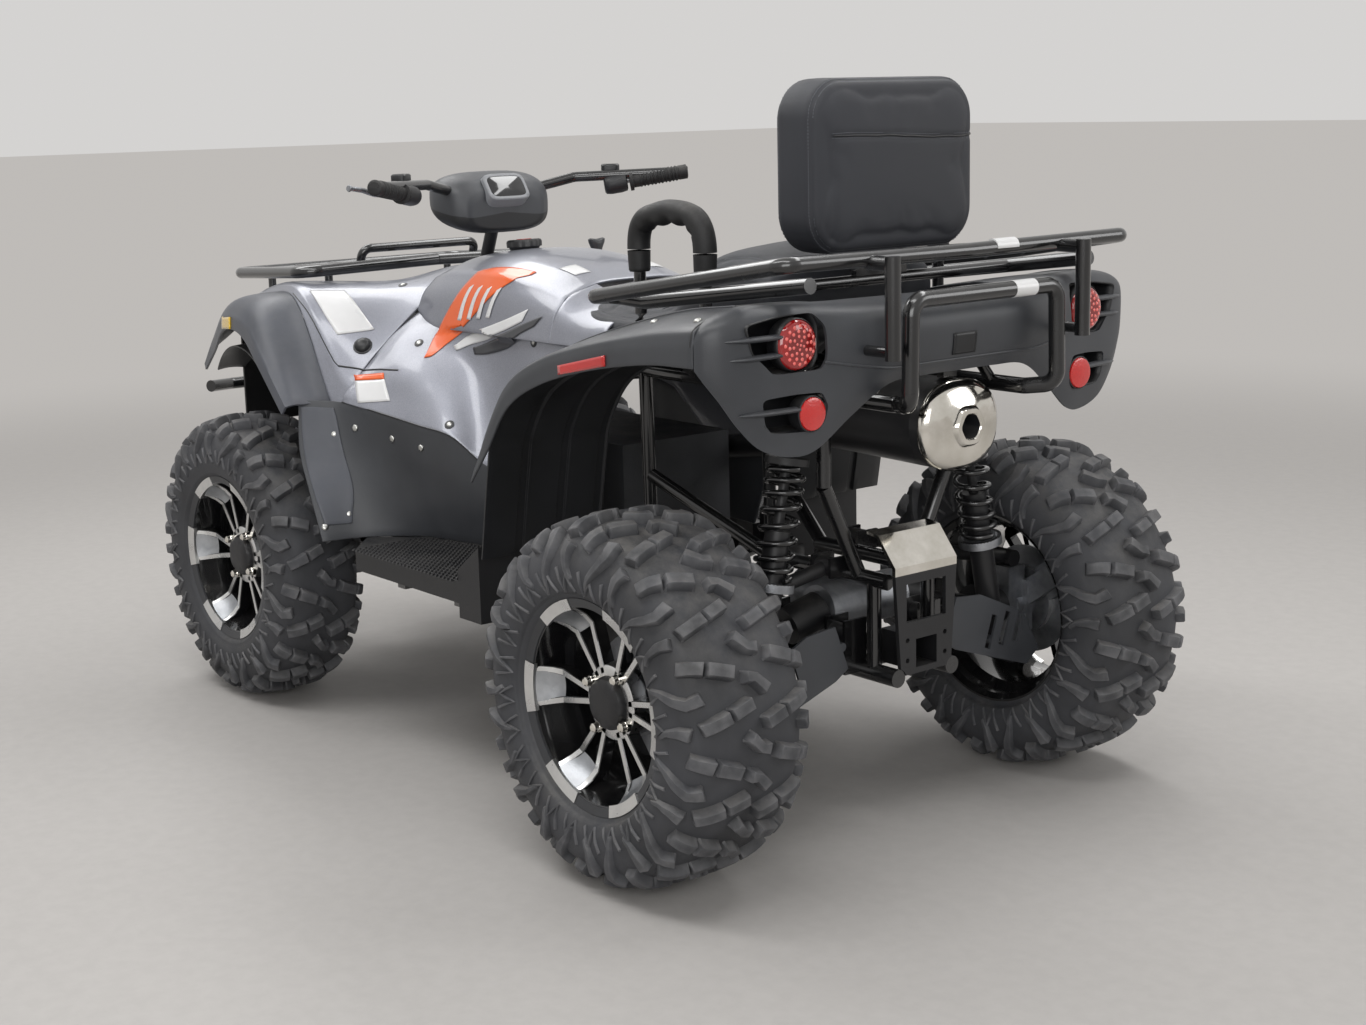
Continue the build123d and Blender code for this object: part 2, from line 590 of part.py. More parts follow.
def make_side_panels():
    """Silver panels under the tank, hollowed for the rider's knees."""
    rows = [
        (SIDE_SEAM_Z, SIDE_SEAM),
        (700, [(310, 350), (205, 300), (40, 262), (-200, 256)]),
        (780, [(285, 300), (200, 262), (40, 222), (-240, 228)]),
        (830, [(270, 262), (200, 232), (40, 206), (-260, 218)])]
    return both(panel([(level(z), pts) for z, pts in rows], SKIN))


def make_tank_cover():
    """Silver cover over the fuel tank, between the pod and the seat."""
    rows = [
        (FA - 364 - RUN, [(0, 958), (90, 954), (150, 934), (200, 868)]),
        (240, [(0, 984), (90, 978), (160, 950), (216, 842)]),
        (80, [(0, 996), (100, 988), (170, 956), (216, 838)]),
        (-80, [(0, 978), (100, 972), (170, 942), (218, 838)]),
        (-186, [(0, 950), (100, 946), (176, 922), (220, 838)])]
    return panel([(across(x), whole(pts)) for x, pts in rows], -SKIN)


def make_rear_fenders():
    """Dark fenders over the rear wheels, from the tank sides to the lamps."""
    # x, then (y, z) from the seat's side out to the lip
    rows = [
        (-330, [(214, 838), (300, 806), (400, 740), (492, 650), (FENDER_OUT_Y, 622)]),
        (-392, [(214, 858), (300, 838), (416, 800), (FENDER_OUT_Y, 724), (FENDER_OUT_Y, 690)]),
        (-460, [(214, 872), (300, 862), (418, 842), (FENDER_OUT_Y, 806), (FENDER_OUT_Y, 772)]),
        (-560, [(214, 900), (300, 898), (420, 886), (FENDER_OUT_Y, 856), (FENDER_OUT_Y, 822)]),
        (-700, [(214, 930), (300, 930), (420, 926), (FENDER_OUT_Y, 892), (FENDER_OUT_Y, 858)]),
        (-860, [(214, 960), (300, 962), (420, 962), (FENDER_OUT_Y, 918), (FENDER_OUT_Y, 882)]),
        (-980, [(214, 966), (300, 972), (410, 976), (FENDER_OUT_Y, 930), (FENDER_OUT_Y, 886)])]
    return both(panel([(across(x), pts) for x, pts in rows], -SKIN))


def make_rear_liners():
    """Black arch liners round the rear wheels, fixed inside the fenders' lips."""
    pts = [(-352, 481), (-382, 640), (-402, 712), (-462, 788), (-560, 836), (-700, 868), (-860, 890), (-962, 898)]
    outer_y = FENDER_OUT_Y - SKIN - RUN
    sheet = Pos(0, outer_y, 0) * Rot(90, 0, 0) * extrude(face(skin(pts, -4), Plane.XY), amount=outer_y - 235)
    return both(sheet)


def make_fascia():
    """Dark rear panel with a lobe under each lamp."""
    plan = [(-980 - RUN, FENDER_OUT_Y - 1), (-1019, 480), (-1041, 343), (-1076, 225), (-1086, 80), (-1086, 0)]
    sheet = Pos(0, 0, 700) * extrude(face(skin(plan, SKIN), Plane.XY), amount=320)
    outline = [(0, 968), (200, 970), (300, 984), (400, 986), (478, 966), (520, 905), (474, 840), (420, 762),
               (330, 735), (270, 744), (225, 800), (160, 838), (80, 842), (0, 842)]
    keep = prism(outline, across(-1200), 1200 - 980 - RUN)
    part = sheet & keep
    for y, z, w, h in ((356, 914, 106 + 2 * RUN, 2 * (LAMP_R + RUN)), (345, 804, 108, 2 * (REFLECTOR_R + RUN))):
        part -= block((-1200, y - w / 2, z - h / 2), (-900, y + w / 2, z + h / 2))
    for z in (900, 926):
        part += block((-1046, 388, z - 4), (-1026, 412, z + 4))
    return both(part)


def make_seat():
    """Rider's seat and raised passenger's seat in one."""
    # x, then half widths and heights: foot, side, crown edge, crown
    rows = [
        (-196, 120, 846, 150, 880, 110, 936, 946),
        (-270, 150, 842, 188, 872, 150, 912, 922),
        (-400, 160, SEAT_RAIL_Z + 14 + RUN, 190, 872, 150, 902, 910),
        (-520, 165, SEAT_RAIL_Z + 14 + RUN, 196, 890, 150, 932, 940),
        (-600, 170, 860, 204, 930, 150, 1002, 1012),
        (-720, 175, 880, 206, 970, 150, 1032, 1046),
        (-806, 170, 900, 200, 970, 150, 1016, 1026)]
    rings = []
    for x, foot, zf, side, zs, edge, ze, zc in rows:
        pts = [(-foot, zf), (foot, zf), (side, zs), (edge, ze), (0, zc), (-edge, ze), (-side, zs)]
        rings.append(face(pts, across(x)))
    return loft(rings, ruled=True)


def make_backrest():
    half, r = BACKREST_W / 2, 62
    front = -815.0
    body = Plane(origin=(front - BACKREST_T, 0, 0), x_dir=(0, 1, 0), z_dir=(1, 0, 0)) * (
        Pos(0, (BACKREST_TOP + BACKREST_FOOT) / 2) * RectangleRounded(BACKREST_W, BACKREST_TOP - BACKREST_FOOT, r))
    return extrude(body, amount=BACKREST_T)


def make_backrest_stay():
    part = block((-880, -60, 984), (-868, 60, BACKREST_FOOT - RUN))
    return part + rod((-874, -REAR_RACK_W / 2 + 80, 984), (-874, REAR_RACK_W / 2 - 80, 984), RACK_R - 3)


def make_grab_handles():
    """Padded hoops on thin feet, which stand on the fenders."""
    front, top, rear, y = -561, -651, -742, 280
    bend = [(front, y, 1090), (top, y, 1108), (rear, y, 1096)]
    part = pipe([(front, y, 896)] + bend + [(rear, y, 935)], 11, 30)
    part += pipe([(front, y, 1000)] + bend + [(rear, y, 1020)], 21, 30)
    return both(part) - make_rear_fenders()


def make_rear_rack():
    y, z = REAR_RACK_W / 2 - 10, REAR_RACK_Z
    side = pipe([(-1080, 0, z), (-1080, y, z + 3), (-581, y, z - 74), (-566, y - 60, z - 78),
                 (-640, y - 70, z - 84), (-1060, y - 70, z - 34)], RACK_R, 22)
    for yy in (60, 150, 240):
        side += rod((-1080, yy, z), (-1080 + 20, yy, z - 10), RACK_THIN_R)
    post = rod((-1080, 225, z - 4), (-1135, 225, z - 4), 12) + rod((-1135, 225, z + 8), (-1135, 225, 885), RACK_R)
    post += rod((-1135, 225, 897), (-1077.5, 225, 897), 9)
    return both(side + post)


def make_front_rack():
    y, z = 300, FRONT_RACK_Z
    part = pipe([(FA + 270, 0, z), (FA + 270, y, z), (FA - 110, y + 30, z + 22), (FA - 130, 0, z + 30)], RACK_R, 40)
    for yy in (60, 150, 240):
        part += rod((FA + 266, yy, z), (FA - 118, yy, z + 26), RACK_THIN_R)
    part += pipe([(FA - 40, 150, z + 14), (FA - 60, 150, z + 60), (FA - 60, 0, z + 60)], RACK_THIN_R + 2, 20)
    for x, foot_z in ((FA + 210, 866), (FA - 60, 914)):
        part += rod((x, 240, z + 10), (x, 240, foot_z), 9)
    return both(part) - make_front_fairing()


def make_rear_bumper():
    """A hoop behind the rear panel, from the ends of the seat rails."""
    x = -OVERALL / 2 + BUMPER_R + 12
    hoop = pipe([(x, 0, 975), (x, 172, 975), (x, 176, 806), (x + 50, 150, SEAT_RAIL_Z),
                 (-1010 - RUN, SEAT_RAIL_Y, SEAT_RAIL_Z)], BUMPER_R, 26)
    return both(hoop)


def make_front_bumper():
    x = OVERALL / 2 - BUMPER_R
    hoop = pipe([(x, 0, 640), (x, 250, 640), (1100, 318, 644)], BUMPER_R, 30)
    low = pipe([(x, 150, 640), (x - 16, 130, 490), (1070, FRONT_RAIL_Y, MID_RAIL_Z),
                (1000 + RUN, FRONT_RAIL_Y, MID_RAIL_Z)], BUMPER_R, 28)
    return both(hoop + low)


def make_muffler():
    tail, front = MUFFLER_TAIL_X + 40, -650
    rows = [(front, 0.5), (front - 40, 0.92), (tail + 20, 1.0), (tail, 0.97)]
    rings = []
    for x, k in rows:
        place = Plane(origin=(x, MUFFLER_Y, MUFFLER_Z), x_dir=(0, 1, 0), z_dir=(-1, 0, 0))
        rings.append(place * Ellipse(MUFFLER_W / 2 * k, MUFFLER_H / 2 * k))
    return loft(rings, ruled=True)


def make_muffler_cap():
    tail = MUFFLER_TAIL_X + 40
    rows = [(tail - RUN, 0.99), (tail - 14, 0.95), (tail - 34, 0.62), (tail - 40, 0.5)]
    rings = []
    for x, k in rows:
        place = Plane(origin=(x, MUFFLER_Y, MUFFLER_Z), x_dir=(0, 1, 0), z_dir=(-1, 0, 0))
        rings.append(place * Ellipse(MUFFLER_W / 2 * k, MUFFLER_H / 2 * k))
    cap = loft(rings, ruled=True)
    return cap - rod((MUFFLER_TAIL_X - 5, MUFFLER_Y, MUFFLER_Z), (MUFFLER_TAIL_X + 30, MUFFLER_Y, MUFFLER_Z), OUTLET_R)


def make_exhaust():
    """From the engine's right side back to the muffler's front end."""
    side = -BELLY_RAIL_Y + RAIL_R
    return pipe([(-20, side, 560), (-20, -205, 560), (-450, -205, 620), (-580, MUFFLER_Y - 30, 710),
                 (-660, MUFFLER_Y, MUFFLER_Z)], 24, 50) - block((-800, -300, 600), (-650 + RUN, 100, 900))


def make_hitch():
    plate = prism([(-HITCH_W / 2, 485), (HITCH_W / 2, 485), (HITCH_W / 2 - 14, 306), (-HITCH_W / 2 + 14, 306)],
                  across(HITCH_X - 12), 8)
    plate -= block((HITCH_X - 30, -48, 400), (HITCH_X + 10, 48, 468))
    half = RECEIVER / 2
    tube = block((HITCH_X - 12, -half - 5, RECEIVER_Z - half - 5), (HITCH_X + 70, half + 5, RECEIVER_Z + half + 5))
    hollow = block((HITCH_X - 40, -half, RECEIVER_Z - half), (HITCH_X + 60, half, RECEIVER_Z + half))
    part = plate + tube - hollow
    part -= both(rod((HITCH_X - 30, REAR_RAIL_Y, LOW_RAIL_Z), (HITCH_X + 90, REAR_RAIL_Y, LOW_RAIL_Z), RAIL_R + RUN))
    for y in (-46, 46):
        for z in (332, 368):
            part -= rod((HITCH_X - 20, y, z), (HITCH_X, y, z), 4.5)
    return part


def make_hitch_cover():
    return prism([(HITCH_X - 12, 485 + RUN), (HITCH_X - 12, 500), (HITCH_X + 30, 552), (HITCH_X + 58, 556),
                  (HITCH_X + 58, 551), (HITCH_X + 34, 547), (HITCH_X - 4, 498), (HITCH_X - 4, 485 + RUN)],
                 upright(HITCH_W / 2), HITCH_W)


def make_rear_gearcase():
    part = rod((RA - 20, -92, 400), (RA - 20, 92, 400), 44)
    part += rod((RA - 20, 0, 400), (RA + 120, 0, 400), 40)
    return part


def make_front_gearcase():
    return rod((FA + 20, -80, 385), (FA + 20, 80, 385), 55) + rod((FA + 20, 0, 385), (FA - 55, 0, 385), 34) \
        + block((FA, -30, LOW_RAIL_Z - RAIL_R), (FA + 40, 30, 345))


def make_half_shafts():
    out = None
    for x, start, end, z0 in ((RA, 92 + RUN, REAR_TRACK / 2 - 85 - RUN, 400), (FA, 80 + RUN, KINGPIN_Y - 5, 385)):
        dx = -20 if x < 0 else 20
        a, b = (x + dx, start, z0), (x, end, WHEEL_R)
        shaft = rod(a, b, 13)
        for p, q, r in ((0.0, 0.24, 34), (0.74, 1.0, 34)):
            pa = tuple(m + (n - m) * p for m, n in zip(a, b))
            pb = tuple(m + (n - m) * q for m, n in zip(a, b))
            shaft += rod(pa, pb, r)
        shaft &= block((x - 200, start, 0), (x + 200, end, 800))
        out = shaft if out is None else out + shaft
    return both(out)


def make_engine():
    half = BELLY_RAIL_Y - RAIL_R - RUN
    return block((-300, -half, LOW_RAIL_Z - 13), (150, half, 640))


def make_skid():
    z = LOW_RAIL_Z - RAIL_R - 5 - RUN
    path = [(-430, z), (893, z), (998, z + 137)]
    return prism(skin(path, 5), upright(130), 260)


def make_footboards():
    board = prism([(-235, 250), (-235, BOARD_OUT_Y), (150, BOARD_OUT_Y), (236, 402), (150, 310), (20, 272), (-170, 262)],
                  level(BOARD_TOP - BOARD_T), BOARD_T)
    rear = prism([(-234, 347), (-308, 347), (-308, 494), (-234, 440)], upright(BOARD_OUT_Y), 210)
    return both(board + rear)


def make_front_fascia():
    """Dark nose with its grille, between the headlamps."""
    plan = [(FA + 296, 284), (FA + 314, 190), (FA + 324, 80), (FA + 325, 0)]
    sheet = Pos(0, 0, 560) * extrude(face(skin(plan, SKIN), Plane.XY), amount=236)
    for z in (610, 640, 670, 700):
        sheet -= block((FA + 200, 0, z), (FA + 500, 120, z + 14))
    sheet -= block((FA + 200, 155 - RUN, 738 - RUN), (FA + 500, 270 + RUN, 786 + RUN))
    return both(sheet)


def make_headlamps():
    lens = block((FA + 290, 155, 738), (FA + 328, 270, 786))
    return both(lens)


def make_lamps():
    return both(rod((-1012, 343, 914), (-1048, 343, 914), LAMP_R))


def make_reflectors():
    return both(rod((-1030, 320, 804), (-1060, 320, 804), REFLECTOR_R))


def make_fuel_cap():
    foot = (205, 0, 987.5)
    return rod(foot, add(foot, (1.5, 0, 20)), FUEL_CAP_R)


def make_gear_lever():
    """A T handle on its rod, out of a small gate plate beside the tank."""
    part = rod((262, -238, 832), (250, -222, 974), 8)
    part += block((236, -246, 968), (264, -202, 992))
    part += block((228, -262, 830 + RUN), (294, -218, 835))
    return part


NODES = {
    "frame": make_frame,
    "skid_plate": make_skid,
    "engine_block": make_engine,
    "gearcases": lambda: make_rear_gearcase() + make_front_gearcase(),
    "half_shafts": make_half_shafts,
    "rear_arms": lambda: make_rear_arms(False) + make_rear_arms(True),
    "front_arms": lambda: make_front_arms(False) + make_front_arms(True),
    "arm_guards": make_arm_guards,
    "rear_knuckles": lambda: both(make_rear_knuckle()),
    "shock_bodies": lambda: both(shock(*REAR_SHOCK, 36) + shock(*FRONT_SHOCK, 32)),
    "shock_springs": lambda: both(coil(*REAR_SHOCK, 36, 9, 8) + coil(*FRONT_SHOCK, 32, 8, 8)),
    "front_fairing": make_front_fairing,
    "front_flares": make_flares,
    "front_fascia": make_front_fascia,
    "headlamps": make_headlamps,
    "tank_cover": make_tank_cover,
    "side_panels": make_side_panels,
    "footwells": make_footwells,
    "footboards": make_footboards,
    "rear_fenders": make_rear_fenders,
    "rear_liners": make_rear_liners,
    "rear_fascia": make_fascia,
    "seat": make_seat,
    "backrest": make_backrest,
    "grab_handles": make_grab_handles,
    "rear_rack": lambda: make_rear_rack() + make_backrest_stay(),
    "front_rack": make_front_rack,
    "rear_bumper": make_rear_bumper,
    "front_bumper": make_front_bumper,
    "muffler": lambda: make_muffler() + make_exhaust(),
    "muffler_cap": make_muffler_cap,
    "hitch_bracket": make_hitch,
    "hitch_cover": make_hitch_cover,
    "tail_lamps": lambda: make_lamps() + make_reflectors(),
    "fuel_cap": make_fuel_cap,
    "gear_lever": make_gear_lever,
    "steering_column": make_column,
    "handlebar": make_handlebar,
    "grips": make_grips,
    "instrument_pod": make_pod,
    "tie_rod_left": make_tie_rod,
    "tie_rod_right": lambda: right(make_tie_rod()),
    "front_knuckle_left": make_front_knuckle,
    "front_knuckle_right": lambda: right(make_front_knuckle()),
}


def wheels():
    """Tyre, rim and hub of each wheel, the right ones mirrored."""
    out = {}
    for end, x, track, tyre_w, rim_w in (
            ("rear", RA, REAR_TRACK, REAR_TYRE_W, REAR_RIM_W),
            ("front", FA, FRONT_TRACK, FRONT_TYRE_W, FRONT_RIM_W)):
        place = Pos(x, track / 2, WHEEL_R)
        for name, part in (("tyre", make_tyre(tyre_w, rim_w)), ("rim", make_rim(rim_w) + make_hub(rim_w))):
            out[f"{name}_{end}_left"] = place * part
            out[f"{name}_{end}_right"] = right(place * part)
    return out


if __name__ == "__main__":
    os.makedirs("parts", exist_ok=True)
    made = {name: make() for name, make in NODES.items()}
    made.update(wheels())
    for name, part in made.items():
        export_step(part, f"parts/{name}.step")
        print(name, len(part.solids()), round(part.volume))
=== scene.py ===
# %% [markdown]
# # A four-wheel quad for two riders, dressed for its picture
#
# The construction model gives every rigid piece at its real size and place. This file
# loads it as a fixed frame and adds the looks: paint, moulded plastic, rubber, cloth,
# and the shapes that are easier to grow from a formula than to machine.
# +X is forward, +Y is the rider's left and +Z is up, and a length is in metres.

# %% Load the frame
from math import atan2, cos, hypot, pi, radians, sin

import bmesh
import bpy
import numpy as np
from mathutils import Matrix, Vector
from mathutils.bvhtree import BVHTree
from mathutils.kdtree import KDTree


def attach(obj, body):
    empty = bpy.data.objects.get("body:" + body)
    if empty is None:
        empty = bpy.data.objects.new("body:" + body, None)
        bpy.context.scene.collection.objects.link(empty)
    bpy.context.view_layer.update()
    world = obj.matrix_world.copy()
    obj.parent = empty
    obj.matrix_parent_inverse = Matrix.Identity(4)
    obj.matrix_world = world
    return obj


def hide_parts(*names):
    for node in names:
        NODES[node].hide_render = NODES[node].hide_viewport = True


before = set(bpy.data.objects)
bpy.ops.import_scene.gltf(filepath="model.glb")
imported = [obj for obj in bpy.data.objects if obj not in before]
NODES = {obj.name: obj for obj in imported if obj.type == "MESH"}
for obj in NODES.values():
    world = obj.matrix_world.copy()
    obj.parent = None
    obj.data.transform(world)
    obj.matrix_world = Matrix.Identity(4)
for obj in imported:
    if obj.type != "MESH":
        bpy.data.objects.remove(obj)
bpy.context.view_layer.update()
MM = 0.001

# %% [markdown]
# ## The camera
#
# The picture was taken standing up, from behind the machine's left rear wheel. Its
# place was found by matching wheel centres, tyre widths and handlebar ends, so the
# camera is written as a place, a heading, a tilt downwards and a small roll.

# %% Camera
EYE = Vector((-3.3898, 2.4496, 1.2968))
HEADING, TILT, ROLL = radians(-38.54), radians(-11.59), radians(-1.41)
FOCAL_PX, FRAME_PX = 2020.7, 1366

ahead = Vector((cos(TILT) * cos(HEADING), cos(TILT) * sin(HEADING), sin(TILT)))
level = ahead.cross(Vector((0, 0, 1))).normalized()
rise = level.cross(ahead)
side = level * cos(ROLL) + rise * sin(ROLL)
top = rise * cos(ROLL) - level * sin(ROLL)

lens = bpy.data.cameras.new("camera")
lens.sensor_width = 36.0
lens.lens = FOCAL_PX / FRAME_PX * lens.sensor_width
lens.clip_end = 200
camera = bpy.data.objects.new("camera", lens)
camera.matrix_world = Matrix.Translation(EYE) @ Matrix((side, top, -ahead)).transposed().to_4x4()
bpy.context.scene.collection.objects.link(camera)
bpy.context.scene.camera = camera
print("lens", round(lens.lens, 2), "mm")

# %% [markdown]
# ## Sky
#
# A showroom's pale ceiling fills the shadows. One grey stands for it, at full strength
# only for rays from the camera or off something glossy, so that it adds no light.

# %% Sky
SKY_COLOUR = (0.66, 0.65, 0.64, 1)
SKY_LIGHT = 0.42

world = bpy.data.worlds.new("studio")
bpy.context.scene.world = world
world.use_nodes = True
tree = world.node_tree
background = tree.nodes["Background"]


def seen_directly(tree):
    """1 for rays from the camera, off something glossy or through glass, else 0."""
    path = tree.nodes.new("ShaderNodeLightPath")
    value = path.outputs["Is Camera Ray"]
    for label in ("Is Glossy Ray", "Is Transmission Ray"):
        either = tree.nodes.new("ShaderNodeMath")
        either.operation = "MAXIMUM"
        tree.links.new(value, either.inputs[0])
        tree.links.new(path.outputs[label], either.inputs[1])
        value = either.outputs[0]
    return value


strength = tree.nodes.new("ShaderNodeMix")
strength.data_type = "FLOAT"
strength.inputs[2].default_value = SKY_LIGHT
strength.inputs[3].default_value = 1.0
tree.links.new(seen_directly(tree), strength.inputs[0])
tree.links.new(strength.outputs[0], background.inputs["Strength"])
background.inputs["Color"].default_value = SKY_COLOUR
bpy.context.scene.view_settings.view_transform = "Standard"
print("sky light", SKY_LIGHT)

# %% [markdown]
# ## Lamps
#
# Small lamps would leave hard spots on the paint. Large soft panels give the long
# highlights of lamp rows, and a fill opens the shadows under the fenders.

# %% Lamps
# name, place, what it is turned towards, width and length in metres, watts
LAMPS = [
    ("ceiling_left", (-0.6, 1.9, 4.2), (0, 0.2, 0.5), (5.0, 0.8), 78),
    ("ceiling_right", (-0.4, -2.0, 4.2), (0, 0, 0.5), (5.0, 0.8), 70),
    ("ceiling_front", (2.6, 0.2, 3.6), (0.3, 0, 0.6), (3.0, 1.2), 55),
    ("fill", (-4.6, 3.8, 2.2), (-0.4, 0.2, 0.5), (3.6, 2.4), 95),
    ("rear_right", (-4.2, -3.2, 2.4), (-0.4, 0, 0.5), (2.4, 2.0), 45),
]


def lamp(name, place, aim, size, power):
    """A rectangular soft light at place, turned towards aim."""
    data = bpy.data.lights.new(name, "AREA")
    data.shape = "RECTANGLE"
    data.size, data.size_y = size
    data.energy = power
    obj = bpy.data.objects.new(name, data)
    way = Vector(aim) - Vector(place)
    obj.matrix_world = Matrix.Translation(place) @ way.to_track_quat("-Z", "Y").to_matrix().to_4x4()
    bpy.context.scene.collection.objects.link(obj)


for row in LAMPS:
    lamp(*row)
print("lamps:", [row[0] for row in LAMPS])

# %% [markdown]
# ## Floor
#
# One large square is floor and backdrop. It is stage, not part of the machine.

# %% Floor
FLOOR_REACH = 60.0

floor_mesh = bpy.data.meshes.new("floor")
corners = [(x * FLOOR_REACH, y * FLOOR_REACH, 0) for x, y in ((-1, -1), (1, -1), (1, 1), (-1, 1))]
floor_mesh.from_pydata(corners, [], [(0, 1, 2, 3)])
floor = bpy.data.objects.new("floor", floor_mesh)
bpy.context.scene.collection.objects.link(floor)
print("floor", 2 * FLOOR_REACH, "m wide")

# %% [markdown]
# ## Shared surface effects
#
# Real finishes are never one flat colour. The same few effects come back on many
# pieces, so each is a node group that a material places with its own values.

# %% Group helpers


def new_group(name, inputs, outputs):
    """An empty shader group with named float, colour or vector sockets."""
    group = bpy.data.node_groups.new(name, "ShaderNodeTree")
    kinds = {"f": "NodeSocketFloat", "c": "NodeSocketColor", "v": "NodeSocketVector"}
    for label, kind, value in inputs:
        socket = group.interface.new_socket(label, in_out="INPUT", socket_type=kinds[kind])
        socket.default_value = value
    for label, kind in outputs:
        group.interface.new_socket(label, in_out="OUTPUT", socket_type=kinds[kind])
    enter = group.nodes.new("NodeGroupInput")
    leave = group.nodes.new("NodeGroupOutput")
    return group, enter.outputs, leave.inputs


def node(tree, kind, links=None, **values):
    """A node with its settings and the links that feed it."""
    made = tree.nodes.new("ShaderNode" + kind)
    for key, value in values.items():
        setattr(made, key, value)
    for key, source in (links or {}).items():
        if hasattr(source, "node"):
            tree.links.new(source, made.inputs[key])
        else:
            made.inputs[key].default_value = source
    return made


def product(tree, a, b):
    """a times b."""
    return node(tree, "Math", {0: a, 1: b}, operation="MULTIPLY").outputs[0]


def object_place(tree):
    """The point in the object's own space, which stays on the surface when the piece moves."""
    return node(tree, "TexCoord").outputs["Object"]


def ramp(tree, value, low, high):
    """0 up to low, 1 from high on, and even between them."""
    return node(tree, "MapRange", {"Value": value, "From Min": low, "From Max": high}).outputs[0]


def ends_in_mix(group, leave, weight, first, second):
    """The group puts out two colours mixed by weight, and the weight as a mask."""
    mix = node(group, "Mix", {0: weight, 6: first, 7: second}, data_type="RGBA")
    group.links.new(mix.outputs[2], leave["Colour"])
    group.links.new(weight, leave["Mask"])
    return group


print("group helpers ready")

# %% [markdown]
# ## Mottle and grain
#
# Plastic and metal vary a little in tone, so soft noise mixes two of them. A moulded
# skin has pits under a tenth of a millimetre deep: too fine for a mesh, so a bump.

# %% Mottle and grain


def mottle_group():
    """Two colours mixed by soft noise of two scales."""
    group, enter, leave = new_group(
        "Mottle", [("Colour A", "c", (0, 0, 0, 1)), ("Colour B", "c", (1, 1, 1, 1)), ("Scale", "f", 8.0),
                   ("Contrast", "f", 1.0)], [("Colour", "c"), ("Mask", "f")])
    broad = node(group, "TexNoise", {"Vector": object_place(group), "Scale": enter["Scale"], "Detail": 4.0,
                                     "Roughness": 0.6})
    weight = product(group, ramp(group, broad.outputs[0], 0.35, 0.65), enter["Contrast"])
    return ends_in_mix(group, leave, weight, enter["Colour A"], enter["Colour B"])


def grain_group():
    """Fine leather-like pits of moulded skins, as height and as a normal."""
    group, enter, leave = new_group(
        "Grain", [("Scale", "f", 600.0), ("Depth", "f", 0.2), ("Distance", "f", 0.001)],
        [("Normal", "v"), ("Height", "f")])
    place = object_place(group)
    cells = node(group, "TexVoronoi", {"Vector": place, "Scale": enter["Scale"]})
    fine = node(group, "TexNoise", {"Vector": place, "Scale": enter["Scale"], "Detail": 3.0})
    height = node(group, "Math", {0: cells.outputs["Distance"], 1: fine.outputs[0]}, operation="ADD")
    bump = node(group, "Bump", {"Height": height.outputs[0], "Strength": enter["Depth"],
                                "Distance": enter["Distance"]})
    group.links.new(bump.outputs[0], leave["Normal"])
    group.links.new(height.outputs[0], leave["Height"])
    return group


MOTTLE, GRAIN = mottle_group(), grain_group()
print("groups:", MOTTLE.name, GRAIN.name)

# %% [markdown]
# ## Dust, wear and flakes
#
# Dust settles where a surface faces up, and rubber pales on outward edges, in patches.
# The normal and the pointiness tell where. Metallic paint has flakes that differ.

# %% Dust, wear and flakes


def dust_group():
    """Pale dust on faces that look up, broken by noise."""
    group, enter, leave = new_group(
        "Dust", [("Base", "c", (0, 0, 0, 1)), ("Dust", "c", (0.2, 0.19, 0.18, 1)), ("Amount", "f", 0.3),
                 ("Scale", "f", 14.0)], [("Colour", "c"), ("Mask", "f")])
    split = node(group, "SeparateXYZ", {0: node(group, "NewGeometry").outputs["Normal"]})
    cloud = node(group, "TexNoise", {"Vector": object_place(group), "Scale": enter["Scale"], "Detail": 6.0,
                                     "Roughness": 0.7})
    up, patch = ramp(group, split.outputs["Z"], 0.1, 1.0), ramp(group, cloud.outputs[0], 0.4, 0.7)
    amount = product(group, product(group, up, patch), enter["Amount"])
    return ends_in_mix(group, leave, amount, enter["Base"], enter["Dust"])


def wear_group():
    """A worn, paler tone on outward edges: where the surface's pointiness is above its mean."""
    group, enter, leave = new_group(
        "Wear", [("Base", "c", (0, 0, 0, 1)), ("Worn", "c", (0.3, 0.3, 0.3, 1)), ("Amount", "f", 0.5)],
        [("Colour", "c"), ("Mask", "f")])
    patches = node(group, "TexNoise", {"Vector": object_place(group), "Scale": 30.0, "Detail": 4.0})
    edge = ramp(group, node(group, "NewGeometry").outputs["Pointiness"], 0.505, 0.6)
    amount = product(group, product(group, edge, ramp(group, patches.outputs[0], 0.3, 0.65)), enter["Amount"])
    return ends_in_mix(group, leave, amount, enter["Base"], enter["Worn"])


def flake_group():
    """Metallic flakes: tiny cells, each a little lighter or darker than the paint."""
    group, enter, leave = new_group(
        "Flakes", [("Colour", "c", (0.3, 0.3, 0.33, 1)), ("Scale", "f", 1500.0), ("Sparkle", "f", 0.25)],
        [("Colour", "c"), ("Normal", "v")])
    cells = node(group, "TexVoronoi", {"Vector": object_place(group), "Scale": enter["Scale"]})
    shade = node(group, "SeparateColor", {0: cells.outputs["Color"]})
    span = node(group, "MapRange", {"Value": shade.outputs[0], "To Min": 0.82, "To Max": 1.2})
    lit = node(group, "Mix", {0: 1.0, 6: enter["Colour"], 7: span.outputs[0]}, data_type="RGBA",
               blend_type="MULTIPLY")
    bump = node(group, "Bump", {"Height": shade.outputs[1], "Strength": enter["Sparkle"], "Distance": 0.0002})
    group.links.new(lit.outputs[2], leave["Colour"])
    group.links.new(bump.outputs[0], leave["Normal"])
    return group


DUST, WEAR, FLAKES = dust_group(), wear_group(), flake_group()
print("groups:", DUST.name, WEAR.name, FLAKES.name)

# %% [markdown]
# ## Moulded plastic, rubber and metal
#
# A material is one Principled shader fed by the groups. Constant numbers such as coat
# stay on the shader's own sockets, and only what changes over the surface is linked.
# One function makes everything moulded and another all bare metal.

